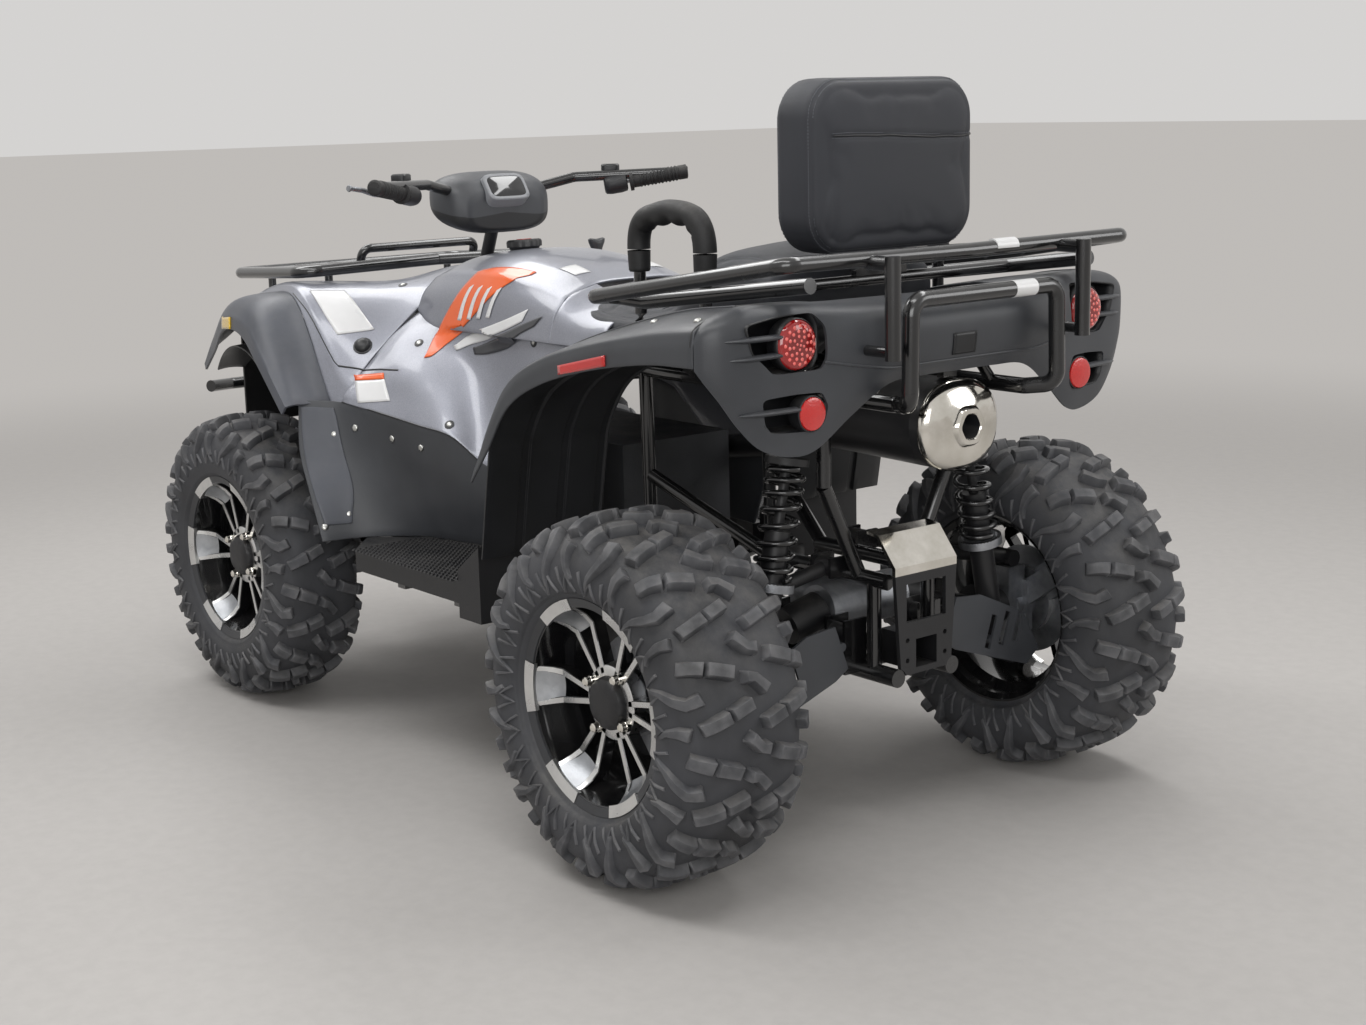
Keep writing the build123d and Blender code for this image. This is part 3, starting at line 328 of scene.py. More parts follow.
# %% Material makers
WORN_TONE, DUST_TONE = (142, 142, 144), (150, 146, 140)


def shader(name, **sockets):
    """A fresh material and its Principled shader, with constants set on its sockets."""
    made = bpy.data.materials.new(name)
    made.use_nodes = True
    principled = made.node_tree.nodes["Principled BSDF"]
    for label, value in sockets.items():
        principled.inputs[label.replace("_", " ")].default_value = value
    return made, made.node_tree, principled.inputs


def put(tree, group, **values):
    """Place a node group; a value may be a constant or another node's socket."""
    made = tree.nodes.new("ShaderNodeGroup")
    made.node_tree = group
    for label, value in values.items():
        socket = made.inputs[label.replace("_", " ")]
        if hasattr(value, "node"):
            tree.links.new(value, socket)
        else:
            socket.default_value = value
    return made.outputs


def rgb(r, g, b):
    """A colour written as it shows on a screen, 0 to 255, as the shader's linear light."""
    linear = [(c / 255 / 12.92) if c <= 10 else ((c / 255 + 0.055) / 1.055) ** 2.4 for c in (r, g, b)]
    return (*linear, 1)


def feed(tree, inputs, colour, mask, rough, span, grain, depth):
    """Link a colour, a roughness that the mask moves by span about rough, and fine pits."""
    uneven = node(tree, "MapRange", {"Value": mask, "To Min": rough + span[0], "To Max": rough + span[1]})
    pits = put(tree, GRAIN, Scale=grain, Depth=depth)
    tree.links.new(colour, inputs["Base Color"])
    tree.links.new(uneven.outputs[0], inputs["Roughness"])
    tree.links.new(pits["Normal"], inputs["Normal"])


def moulded(name, dark, light, rough, grain=700.0, depth=0.25, dust=0.25, wear=0.0, **sockets):
    """Grained plastic or rubber: mottled colour, worn edges, dust on top, fine pits."""
    made, tree, inputs = shader(name, Roughness=rough, **sockets)
    colour = put(tree, MOTTLE, Colour_A=rgb(*dark), Colour_B=rgb(*light), Scale=5.0)
    rubbed = put(tree, WEAR, Base=colour["Colour"], Worn=rgb(*WORN_TONE), Amount=wear)
    dusty = put(tree, DUST, Base=rubbed["Colour"], Dust=rgb(*DUST_TONE), Amount=dust)
    feed(tree, inputs, dusty["Colour"], colour["Mask"], rough, (-0.05, 0.07), grain, depth)
    return made


def metal(name, dark, light, rough, grain=300.0, depth=0.08, metallic=1.0, **sockets):
    """Bare or plated metal with clouding and light grain."""
    made, tree, inputs = shader(name, Metallic=metallic, Roughness=rough, **sockets)
    colour = put(tree, MOTTLE, Colour_A=rgb(*dark), Colour_B=rgb(*light), Scale=18.0)
    feed(tree, inputs, colour["Colour"], colour["Mask"], rough, (-0.04, 0.08), grain, depth)
    return made


print("a mid grey is", round(rgb(128, 128, 128)[0], 3), "in linear light")

# %% [markdown]
# ## Paint and concrete
#
# The silver bodywork is metallic paint with flakes under a clear coat. The floor is lit
# near the machine, where it holds the shadow, and glows evenly far away.

# %% Paint and concrete
FLOOR_COLOUR = (0.52, 0.50, 0.48, 1)
FLOOR_FLECK = (*[0.95 * c for c in FLOOR_COLOUR[:3]], 1)


def silver_paint():
    """Silver-grey metallic paint under a clear coat."""
    made, tree, inputs = shader("silver_paint", Metallic=0.45, Roughness=0.38, Coat_Weight=0.6,
                                Coat_Roughness=0.1)
    base = put(tree, MOTTLE, Colour_A=rgb(132, 134, 143), Colour_B=rgb(144, 146, 155), Scale=3.0)
    flakes = put(tree, FLAKES, Colour=base["Colour"])
    tree.links.new(flakes["Colour"], inputs["Base Color"])
    tree.links.new(flakes["Normal"], inputs["Normal"])
    return made


def concrete():
    """A speckled floor whose light gives way to an even glow between 2.2 and 6.5 m out."""
    made, tree, inputs = shader("floor", Roughness=0.7)
    speckle = put(tree, MOTTLE, Colour_A=FLOOR_COLOUR, Colour_B=FLOOR_FLECK, Scale=30.0)
    tree.links.new(speckle["Colour"], inputs["Base Color"])
    reach = node(tree, "VectorMath", {0: object_place(tree)}, operation="LENGTH")
    far = node(tree, "MapRange", {"Value": reach.outputs["Value"], "From Min": 2.2, "From Max": 6.5},
               interpolation_type="SMOOTHSTEP")
    weight = product(tree, far.outputs[0], seen_directly(tree))
    glow = node(tree, "Emission", {"Color": FLOOR_COLOUR, "Strength": 1.0})
    lit = tree.nodes["Principled BSDF"].outputs[0]
    blend = node(tree, "MixShader", {0: weight, 1: lit, 2: glow.outputs[0]})
    tree.links.new(blend.outputs[0], tree.nodes["Material Output"].inputs["Surface"])
    return made


floor.data.materials.append(concrete())
print("floor and paint ready")

# %% [markdown]
# ## The machine's finishes
#
# Every finish is a row: its dark and its light tone, its roughness, and what sets it
# apart. Glossy parts get a clear coat, because that keeps their colour.

# %% Finishes
CLEAR = dict(depth=0.02, dust=0.0, Coat_Weight=1.0)
MOULDED = {
    "grey_plastic": ((66, 68, 73), (74, 76, 82), 0.48, dict(dust=0.12)),
    "black_plastic": ((22, 22, 24), (30, 30, 32), 0.42, dict(dust=0.15)),
    "black_tube": ((14, 14, 15), (20, 20, 22), 0.24, dict(grain=200, depth=0.03, dust=0.05, Coat_Weight=0.8,
                                                          Coat_Roughness=0.1)),
    "black_satin": ((24, 24, 26), (32, 32, 34), 0.4, dict(grain=400, depth=0.08, dust=0.15)),
    "boot_rubber": ((20, 20, 21), (28, 28, 29), 0.6, {}),
    "tyre_rubber": ((50, 51, 54), (70, 71, 75), 0.62, dict(grain=900, depth=0.3, dust=0.4, wear=0.6)),
    "seat_cover": ((38, 40, 46), (46, 48, 54), 0.55, dict(grain=1400, depth=0.35, dust=0.08)),
    "rim_black": ((12, 12, 13), (18, 18, 20), 0.2, dict(depth=0.02, dust=0.05, Coat_Weight=1.0)),
    "rim_grey": ((50, 51, 54), (58, 59, 62), 0.4, dict(depth=0.1, dust=0.05)),
    "dark_plastic": ((58, 60, 64), (68, 70, 74), 0.42, dict(depth=0.14, dust=0.12)),
    "flare_plastic": ((68, 71, 78), (80, 83, 91), 0.4, dict(depth=0.12, dust=0.12, wear=0.15)),
    "liner_black": ((22, 23, 25), (31, 32, 35), 0.42, dict(depth=0.1, dust=0.2)),
    "red_lens": ((150, 12, 14), (176, 18, 20), 0.1, CLEAR),
    "led_dot": ((250, 96, 90), (255, 120, 110), 0.15, CLEAR),
    "lamp_core": ((120, 8, 10), (140, 12, 14), 0.12, CLEAR),
    "red_reflector": ((196, 24, 22), (214, 36, 32), 0.12,
                      dict(grain=260, depth=0.3, dust=0.0, Coat_Weight=1.0)),
    "yellow_reflector": ((232, 184, 22), (246, 204, 40), 0.12,
                         dict(grain=260, depth=0.3, dust=0.0, Coat_Weight=1.0)),
    "orange_film": ((236, 92, 22), (244, 104, 30), 0.3, dict(depth=0.03, dust=0.0, Coat_Weight=0.6)),
    "white_film": ((222, 222, 222), (234, 234, 234), 0.32, dict(depth=0.03, dust=0.0, Coat_Weight=0.4)),
    "dark_film": ((40, 41, 45), (50, 51, 55), 0.32, dict(depth=0.03, dust=0.0, Coat_Weight=0.5)),
    "screen_glass": ((10, 12, 15), (14, 16, 20), 0.06, dict(depth=0.0, dust=0.0, Coat_Weight=1.0)),
    "pale_plastic": ((128, 130, 134), (142, 144, 148), 0.36, dict(depth=0.1, dust=0.08)),
    "stitch": ((96, 98, 104), (120, 122, 128), 0.6, dict(grain=2400, depth=0.4, dust=0.0)),
    "lamp_glass": ((188, 192, 198), (206, 209, 214), 0.08, CLEAR),
    "engine_dark": ((40, 41, 43), (58, 59, 62), 0.5, dict(grain=400, depth=0.3, dust=0.3)),
}
METALS = {
    "cast_metal": ((128, 130, 134), (168, 170, 174), 0.42, dict(grain=500, depth=0.3, metallic=0.9)),
    "bright_chrome": ((214, 210, 200), (232, 228, 220), 0.1, dict(depth=0.01)),
    "machined": ((205, 205, 205), (222, 222, 220), 0.28, dict(depth=0.03)),
    "rim_satin": ((150, 153, 157), (182, 184, 187), 0.36, dict(depth=0.1, metallic=0.9)),
    "zinc_screw": ((176, 176, 172), (204, 204, 200), 0.3, dict(depth=0.05)),
}
MATERIALS = {"silver_paint": silver_paint()}
for maker, table in ((moulded, MOULDED), (metal, METALS)):
    for name, (dark, light, rough, rest) in table.items():
        MATERIALS[name] = maker(name, dark, light, rough, **rest)
print("materials:", sorted(MATERIALS))

# %% [markdown]
# ## From arrays to meshes
#
# Every new piece is a set of grids. A grid is an array of points with two directions,
# and its faces are the squares between neighbouring rows and columns. A piece is a
# list of such parts, each with the number of the material it wears.

# %% Grids and pieces


def quads(rows, cols, close_rows=False, close_cols=False):
    """Faces of a rows by cols grid: square (i, j) joins point i, j to its next neighbours."""
    i = np.arange(rows if close_rows else rows - 1)
    j = np.arange(cols if close_cols else cols - 1)
    i, j = np.meshgrid(i, j, indexing="ij")
    next_i, next_j = (i + 1) % rows, (j + 1) % cols
    corners = [(i, j), (i, next_j), (next_i, next_j), (next_i, j)]
    return np.stack([row * cols + col for row, col in corners], -1).reshape(-1, 4)


def part(points, faces, finish=0):
    """A part's points, its faces, and which of the piece's materials it wears."""
    return np.asarray(points, float).reshape(-1, 3), np.asarray(faces), finish


def flipped(parts):
    """The same parts mirrored to the other side of the machine, faces still outwards."""
    return [(p * (1, -1, 1), f[:, ::-1], m) for p, f, m in parts]


def shifted(parts, offset):
    """The same parts moved by an offset."""
    return [(p + np.asarray(offset), f, m) for p, f, m in parts]


print("a grid of 3 by 4 points has", len(quads(3, 4)), "squares")

# %% [markdown]
# ## From parts to a piece
#
# A piece is one mesh. It rides on a body of the frame, and may stand for a construction
# piece. Where a grid closes on itself, doubled points are merged.

# %% Pieces


def make_piece(name, parts, materials, body="root", replaces=(), smooth=35.0, merge=None):
    """One object from its parts, smooth where faces meet under the given angle."""
    points, faces, finishes, start = [], [], [], 0
    for p, f, m in parts:
        points.append(p)
        faces += (f + start).tolist()
        finishes += [m] * len(f)
        start += len(p)
    mesh = bpy.data.meshes.new(name)
    mesh.from_pydata(np.concatenate(points).tolist(), [], faces)
    for finish in materials:
        mesh.materials.append(MATERIALS[finish])
    mesh.polygons.foreach_set("material_index", finishes)
    if merge:
        weld(mesh, merge)
    mesh.polygons.foreach_set("use_smooth", [True] * len(mesh.polygons))
    mesh.set_sharp_from_angle(angle=radians(smooth))
    mesh.update()
    obj = bpy.data.objects.new(name, mesh)
    bpy.context.scene.collection.objects.link(obj)
    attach(obj, body)
    if replaces:
        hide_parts(*replaces)
    return obj


def weld(mesh, distance):
    """Merge doubled points and turn every face outwards."""
    work = bmesh.new()
    work.from_mesh(mesh)
    bmesh.ops.remove_doubles(work, verts=work.verts, dist=distance)
    bmesh.ops.dissolve_degenerate(work, edges=work.edges, dist=distance / 2)
    bmesh.ops.recalc_face_normals(work, faces=work.faces)
    work.to_mesh(mesh)
    work.free()


def add_modifier(obj, kind, **settings):
    """A modifier with its settings."""
    made = obj.modifiers.new(kind.lower(), kind)
    for key, value in settings.items():
        setattr(made, key, value)
    return made


# %% [markdown]
# ## One spline for every curve
#
# A smooth run through a few points is a weighted sum of them. The weights depend only
# on how many points there are and where the curve may break, so they fit in a matrix:
# matrix times points gives a curve, and two matrices give a surface.

# %% Splines


def spline(count, steps, sharp=(), closed=False):
    """Weights of a Hermite curve through count points, steps samples a span.
    The slope at a point is half the way between its neighbours; at a sharp point each
    side keeps its own."""
    eye = np.eye(count)
    t = np.linspace(0, 1, steps + 1)[:-1, None]
    h = [2 * t**3 - 3 * t**2 + 1, t**3 - 2 * t**2 + t, -2 * t**3 + 3 * t**2, t**3 - t**2]
    rows, spans = [], count if closed else count - 1
    for i in range(spans):
        a, b = eye[i], eye[(i + 1) % count]
        before, after = eye[(i - 1) % count], eye[(i + 2) % count]
        slope_a = b - a if (i in sharp or (i == 0 and not closed)) else (b - before) / 2
        last = i + 1 == count - 1 and not closed
        slope_b = b - a if (i + 1 in sharp or last) else (after - a) / 2
        rows.append(h[0] * a + h[1] * slope_a + h[2] * b + h[3] * slope_b)
    if not closed:
        rows.append(eye[-1:])
    return np.concatenate(rows)


def surface(net, steps_u=6, steps_v=6, sharp_v=()):
    """A grid of points through a net of control points, rows by columns by xyz."""
    net = np.asarray(net, float)
    across_rows = spline(net.shape[0], steps_u)
    along_cols = spline(net.shape[1], steps_v, sharp_v)
    return np.einsum("ai,ijk,bj->abk", across_rows, net, along_cols)


def run_of(line):
    """How far along the line each of its points is."""
    return np.concatenate([[0], np.cumsum(np.linalg.norm(np.diff(line, axis=0), axis=1))])


def sampled(line, count):
    """The line at count even steps of its length."""
    run = run_of(line)
    at = np.linspace(0, run[-1], count)
    return np.stack([np.interp(at, run, line[:, k]) for k in range(3)], -1)


print("a curve of 4 points and 5 steps has", spline(4, 5).shape[0], "samples")

# %% [markdown]
# ## Turned and swept shapes
#
# A lathe turns a profile about an axis, and a tube carries a circle along a line.

# %% Turned and swept shapes


def unit(vectors):
    """Vectors scaled to a length of 1."""
    return vectors / np.linalg.norm(vectors, axis=-1, keepdims=True)


def turned(profile, steps=96, arc=(0.0, 2 * pi), centre=(0, 0, 0)):
    """Points (w, r) turned about the Y axis through centre: x = r cos a, y = w, z = r sin a."""
    profile = np.asarray(profile, float)
    full = abs(arc[1] - arc[0] - 2 * pi) < 1e-6
    a = np.linspace(*arc, steps, endpoint=not full)[:, None]
    w, r = profile[None, :, 0], profile[None, :, 1]
    points = np.stack([r * np.cos(a), w + 0 * a, r * np.sin(a)], -1) + np.asarray(centre)
    return points, quads(steps, len(profile), close_rows=full)


def along(points, radius, sides=12):
    """A round tube about a line of points: each ring stands square to the line."""
    p = np.asarray(points, float)
    d = unit(np.gradient(p, axis=0))
    first = np.cross(d, (0, 0, 1.0))
    upright = np.linalg.norm(first, axis=1) < 1e-3
    first[upright] = np.cross(d[upright], (1.0, 0.3, 0.1))
    first = unit(first)
    second = np.cross(d, first)
    a = np.linspace(0, 2 * pi, sides, endpoint=False)
    radius = np.broadcast_to(np.asarray(radius, float).reshape(-1, 1, 1), (len(p), 1, 1))
    ring = first[:, None, :] * np.cos(a)[None, :, None] + second[:, None, :] * np.sin(a)[None, :, None]
    return p[:, None, :] + ring * radius, quads(len(p), sides, close_cols=True)


print("a turned square has", len(turned([(0, 1), (0, 2), (1, 2), (1, 1)], 8)[1]), "faces")

# %% [markdown]
# ## Tyres
#
# The tread is laid out flat: w runs across the tyre, s round it. A point symmetric
# pattern of two-block bars, cranked centre lugs and hooked shoulder lugs repeats
# twelve times. The lugs are 18 mm deep and make the tyre's outline, so each is a mesh.

# %% Tread pattern
WHEEL_R = 0.317
PITCHES = 12
LUG_H = 0.018
PATTERN_SHIFT = -80.0     # s of the pattern's centre of symmetry, mm
LUG_FOOT = -1.5           # how deep a lug's foot lies in the carcass, mm
PATTERN_HALF = 0.130      # the half width of the tyre that the pattern is drawn for
# a lug's line of (w, s), then its half width and its height at each of those points, in mm
LUGS = [
    ([(38, -113), (60, -121), (79, -128)], [11, 11, 11], [18, 18, 18]),
    ([(86, -130), (103, -136), (121, -141)], [11, 11, 11], [18, 17, 14]),
    ([(13, -59), (32, -53), (51, -46.5)], [10, 10, 10], [18, 18, 18]),
    ([(57, -44.5), (80, -37), (101, -30)], [10, 10, 10], [18, 18, 17]),
    ([(17, -102), (1, -98), (-20, -76)], [9, 8, 9], [18, 18, 18]),
    ([(97, -83), (118, -76), (138, -86), (162, -106), (186, -118)], [10, 10, 8, 6, 4], [17, 15, 11, 7, 4]),
    ([(118, -22), (136, -26), (160, -22), (176, -8)], [10, 9, 6, 4], [15, 12, 7, 4]),
    ([(160, -146), (197, -128), (172, -100), (200, -84)], [3, 3, 3, 3], [4, 4, 4, 3]),
    ([(158, -62), (198, -46), (170, -26), (198, -2)], [3, 3, 3, 3], [4, 4, 4, 3]),
]
print("lugs on a tyre:", 2 * PITCHES * len(LUGS))

# %% [markdown]
# ## Carcass
#
# The carcass is turned from half a section. The flat layout is wrapped onto it: w
# becomes a distance along the section, s an angle, and height goes out along the
# section's normal.

# %% Carcass


def carcass(half, rim_half):
    """Smooth profile from the crown's middle down to the bead, and its running length."""
    r = WHEEL_R - LUG_H
    points = np.array([
        (0, r), (0.31 * half, r - 0.001), (0.58 * half, r - 0.005), (0.78 * half, r - 0.015),
        (0.915 * half, r - 0.034), (0.985 * half, r - 0.058), (0.99 * half, r - 0.083),
        (0.94 * half, r - 0.101), (rim_half + 0.006, 0.192), (rim_half + 0.001, 0.186),
        (rim_half - 0.006, 0.1805), (rim_half - 0.02, 0.1785)])
    line = spline(len(points), 8) @ points
    return line, run_of(line)


def wrapped(line, length, w, s, h):
    """Flat tread coordinates to space: distance w along the profile, s round it, h above it."""
    at = np.clip(np.abs(w), 0, length[-1])
    side_of = np.where(w < 0, -1.0, 1.0)
    slope = unit(np.gradient(line, axis=0))
    y = np.interp(at, length, line[:, 0])
    r = np.interp(at, length, line[:, 1])
    out_y = np.interp(at, length, -slope[:, 1])
    out_r = np.interp(at, length, slope[:, 0])
    y, r = (y + out_y * h) * side_of, r + out_r * h
    a = s / WHEEL_R
    return np.stack([-r * np.cos(a), y, -r * np.sin(a)], -1)


print("half a section is", round(carcass(PATTERN_HALF, 0.108)[1][-1], 3), "m long")

# %% [markdown]
# ## Lugs
#
# A lug has to leave its mould, so its sides slope out to the foot, and its top edge is
# slightly broken. Its two ends slope in the same way.

# %% Lugs


def ridge(line, widths, heights):
    """A lug laid flat: stations at the line's points and halfway between, seven points across
    each, at -b - draft, -b, -b + edge, 0 and the same on the other side."""
    line, widths, heights = (np.asarray(v, float) for v in (line, widths, heights))
    eye = np.eye(len(line))
    halves = (eye[:-1] + eye[1:]) / 2
    order = np.argsort(np.concatenate([np.arange(len(line)), np.arange(len(line) - 1) + 0.5]))
    m = np.concatenate([eye, halves])[order]
    p, b, h = m @ line, m @ widths, m @ heights
    d = unit(np.gradient(p, axis=0))
    draft, edge = min(3.5, h.max() / 3), min(1.4, h.max() / 4)
    p = np.concatenate([[p[0] - d[0] * draft, p[0]], p[:1] + d[:1] * edge, p[1:-1],
                        p[-1:] - d[-1:] * edge, [p[-1], p[-1] + d[-1] * draft]])
    thrice_at_ends = [0, 0, *range(len(d)), -1, -1]
    b, h, d = b[thrice_at_ends], h[thrice_at_ends], d[thrice_at_ends]
    normal = np.stack([-d[:, 1], d[:, 0]], -1)
    across = np.array([-1, -1, -1, 0, 1, 1, 1.0])
    grow = np.array([-draft, 0, edge, 0, -edge, 0, draft])
    offset = across[None] * b[:, None] + grow[None]
    foot = np.full(len(h), LUG_FOOT)
    top = np.stack([foot, h - edge, h, h, h, h - edge, foot], -1)
    cap = h.copy()
    cap[[0, -1]] = LUG_FOOT
    cap[[1, -2]] -= edge
    height = np.minimum(top, cap[:, None])
    flat = p[:, None, :] + normal[:, None, :] * offset[..., None]
    return flat, height


def tyre(half, rim_half):
    """Carcass and lugs about the Y axis; w is scaled to the tyre's width."""
    line, length = carcass(half, rim_half)
    k = half / PATTERN_HALF
    mirrored = line[::-1] * (-1, 1)
    points, faces = turned(np.concatenate([mirrored[:-1], line])[::-1], steps=144)
    parts = [part(points, faces)]
    pitch = 2 * pi * WHEEL_R * 1000 / PITCHES
    turns = (np.arange(PITCHES) * pitch)[:, None, None]
    for lug_line, widths, heights in LUGS:
        flat, height = ridge(lug_line, widths, heights)
        faces = quads(*flat.shape[:2])[:, ::-1]
        for sign in (1, -1):
            w = flat[None, ..., 0] * sign * k + 0 * turns
            s = (flat[None, ..., 1] if sign > 0 else PATTERN_SHIFT - flat[None, ..., 1]) + turns
            h = height[None] + 0 * turns
            xyz = wrapped(line, length, w * MM, s * MM, h * MM)
            parts += [part(one, faces) for one in xyz]
    return parts


# x and y of the hub, half widths of the tyre and the rim, body
WHEELS = {
    "rear_left": (-0.790, 0.480, 0.130, 0.108, "wheel_rl"),
    "rear_right": (-0.790, -0.480, 0.130, 0.108, "wheel_rr"),
    "front_left": (0.690, 0.420, 0.102, 0.088, "wheel_fl"),
    "front_right": (0.690, -0.420, 0.102, 0.088, "wheel_fr"),
}
for name, (x, y, half, rim_half, body) in WHEELS.items():
    tyre_parts = shifted(tyre(half, rim_half), (x, y, WHEEL_R))
    make_piece("tyre_" + name, tyre_parts, ["tyre_rubber"], body, ["tyre_" + name], smooth=40)
print("a tyre has", sum(len(p[1]) for p in tyre_parts), "faces")

# %% [markdown]
# ## Alloy wheels
#
# Six split spokes stand on a dished face. Their fronts are turned bright on a lathe,
# the sides stay gloss black, and six bright plates on the lip alternate with dark
# ones. One spoke is drawn along a = 0 and turned to its place.

# %% Spokes and plates
SPOKES = 6
DISH = 0.045
LIP_HALF_ANGLE = radians(14.5)
WHEEL_FINISHES = ["machined", "rim_black", "rim_grey", "rim_satin", "bright_chrome", "cast_metal",
                  "black_satin"]
BRIGHT, BLACK, GREY, SATIN, CHROME, IRON, RUBBER = range(len(WHEEL_FINISHES))


def beam(stations, back_depth, bevel=0.0014):
    """A bar along a = 0 through stations (radius, sideways, half width, y), bright in front."""
    r, q, b, y = np.asarray(stations, float).T
    x = np.stack([r] * 6, -1)
    z = np.stack([q - b * 1.02, q - b, q - b + bevel, q + b - bevel, q + b, q + b * 1.02], -1)
    depth = np.stack([y - back_depth, y - bevel, y, y, y - bevel, y - back_depth], -1)
    grid = np.stack([x, depth, z], -1)
    faces = quads(len(r), 6)
    front = np.tile(np.arange(5), len(r) - 1) == 2
    ends = np.array([[0, 1, 2, 3], [0, 3, 4, 5]])
    ends = np.concatenate([ends, ends[:, ::-1] + (len(r) - 1) * 6])
    return [part(grid, faces[front], BRIGHT), part(grid, faces[~front], BLACK), part(grid, ends, BLACK)]


def spoke_parts(f):
    """Two beams and between them a satin ramp, hollow along its middle, that climbs to the lip."""
    face_y = f - DISH
    spoke = []
    for s in (1, -1):
        spoke += beam([(0.050, s * 0.0085, 0.0060, face_y), (0.092, s * 0.0165, 0.0060, face_y),
                       (0.134, s * 0.0245, 0.0062, face_y), (0.148, s * 0.0275, 0.0060, face_y + 0.010),
                       (0.160, s * 0.0300, 0.0056, face_y + 0.025),
                       (0.167, s * 0.0320, 0.0052, f - 0.003)], 0.024)
    u = np.linspace(-0.026, 0.026, 9)[None, :]
    t = np.linspace(0, 1, 8)[:, None]
    climb = (DISH - 0.004) * (0.25 * t + 0.75 * t**2)
    hollow = 0.0025 * np.cos(u / 0.026 * pi / 2)
    ramp = np.stack([0.132 + 0.034 * t + 0 * u, face_y - 0.002 + climb - hollow, (0.85 + 0.2 * t) * u], -1)
    spoke.append(part(ramp, quads(8, 9), SATIN))
    lip = np.stack([ramp[0], ramp[0] - (0.004, 0.024, 0)])
    spoke.append(part(lip, quads(2, 9)[:, ::-1], BLACK))
    return spoke


def spun(parts, a):
    """Parts turned by a about the wheel's axle."""
    c, s = cos(a), sin(a)
    turn = np.array([[c, 0, s], [0, 1, 0], [-s, 0, c]])
    return [(p @ turn, f, m) for p, f, m in parts]


def ring_plate(profile, middle, half_angle, finish, steps=14):
    """A solid sector of a ring: its (w, r) outline swept between two angles and closed."""
    grid, _ = turned(profile, steps, (middle - half_angle, middle + half_angle))
    n = len(profile)
    faces = quads(steps, n, close_cols=True)
    caps = [list(range(n)), [(steps - 1) * n + i for i in range(n)][::-1]]
    return [part(grid, faces, finish)] + [part(grid, [c], finish) for c in caps]


print("a spoke has", sum(len(p[1]) for p in spoke_parts(0.108)), "faces")

# %% [markdown]
# ## Rims
#
# The rest of the wheel is turned: barrel, hub, core and brake disc. A black cap with six
# shallow petals and four chrome nuts finish the hub.

# %% Rims


def lathe(profile, steps, finish, centre=(0, 0, 0), inward=False):
    """A turned part; inward turns its faces over, for a profile drawn the other way round."""
    grid, faces = turned(profile, steps, centre=centre)
    return part(grid, faces[:, ::-1] if inward else faces, finish)


def hub_cap(face_y):
    """Rings whose radius dips by up to 5% towards six petals: r (1 - 0.05 max(cos 6a, 0))."""
    a = np.linspace(0, 2 * pi, 96, endpoint=False)[:, None]
    w = np.array([-0.004, 0.006, 0.013, 0.0165, 0.0175, 0.0178])[None]
    r = np.array([0.046, 0.0455, 0.042, 0.036, 0.020, 0.0])[None]
    r = r * (1 - 0.05 * np.clip(np.cos(6 * a), 0, 1) * np.array([0, 0.4, 1, 1, 0.4, 0])[None])
    grid = np.stack([r * np.cos(a), face_y + w + 0 * a, r * np.sin(a)], -1)
    return part(grid, quads(96, 6, close_rows=True), RUBBER)


def wheel(f):
    """Barrel, lip plates, spokes, hub, cap, nuts and brake disc, for a rim of half width f."""
    loop = [
        (f, 0.1865), (f - 0.005, 0.1865), (f - 0.006, 0.1795), (f - 0.026, 0.178), (f - 0.040, 0.162),
        (-f + 0.040, 0.162), (-f + 0.026, 0.178), (-f + 0.006, 0.1795), (-f + 0.005, 0.1865), (-f, 0.1865),
        (-f, 0.181), (-f + 0.010, 0.172), (-f + 0.028, 0.170), (-f + 0.044, 0.155), (f - 0.064, 0.155),
        (f - 0.050, 0.160), (f - 0.026, 0.164), (f - 0.008, 0.167), (f - 0.002, 0.182)]
    parts = [lathe(loop + loop[:1], 120, BLACK, inward=True)]
    plate = [(f + 0.0015, 0.1835), (f - 0.0035, 0.164), (f - 0.012, 0.166), (f - 0.012, 0.1835)]
    dark_plate = [(f + 0.0003, 0.1835), (f - 0.004, 0.1685), (f - 0.012, 0.1685), (f - 0.012, 0.1835)]
    face_y = f - DISH
    for k in range(SPOKES):
        a = 2 * pi / SPOKES * k
        parts += ring_plate(plate, -a, LIP_HALF_ANGLE, BRIGHT)
        parts += ring_plate(dark_plate, -a + pi / SPOKES, pi / SPOKES - LIP_HALF_ANGLE - 0.004, GREY)
        parts += spun(spoke_parts(f), a)
    hub_front = [(face_y, 0.044), (face_y, 0.060), (face_y - 0.002, 0.0635), (face_y - 0.024, 0.066),
                 (-0.01, 0.066)]
    core = [(-0.01, 0.066), (-0.01, 0.0205), (face_y - 0.02, 0.0205), (face_y - 0.02, 0.0)]
    parts += [lathe(hub_front, 72, BRIGHT), lathe(core, 48, IRON), hub_cap(face_y)]
    nut = [(0.0, 0.0098), (0.008, 0.0098), (0.010, 0.0085), (0.016, 0.0078), (0.0185, 0.005), (0.019, 0.0)]
    for k in range(4):
        a = radians(32 + 90 * k)
        parts.append(lathe(nut, 24, CHROME, (0.0555 * cos(a), face_y, 0.0555 * sin(a))))
    disc = [(0, 0.066), (0, 0.106), (0.005, 0.106), (0.005, 0.066)]
    parts.append(lathe(disc, 72, IRON, inward=True))
    return parts


for name, (x, y, half, rim_half, body) in WHEELS.items():
    made = wheel(rim_half)
    made = made if y > 0 else flipped(made)
    make_piece("rim_" + name, shifted(made, (x, y, WHEEL_R)), WHEEL_FINISHES, body,
               ["rim_" + name], smooth=30)
print("a rim has", sum(len(p[1]) for p in made), "faces")

# %% [markdown]
# ## Moulded panels
#
# A body panel is a smooth surface through a small net of points, taken section by
# section as a designer lofts it, in millimetres. Solidify gives it the real sheet's
# thickness and a narrow bevel rounds its cut edges, which is what catches the light.

# %% Panel helpers


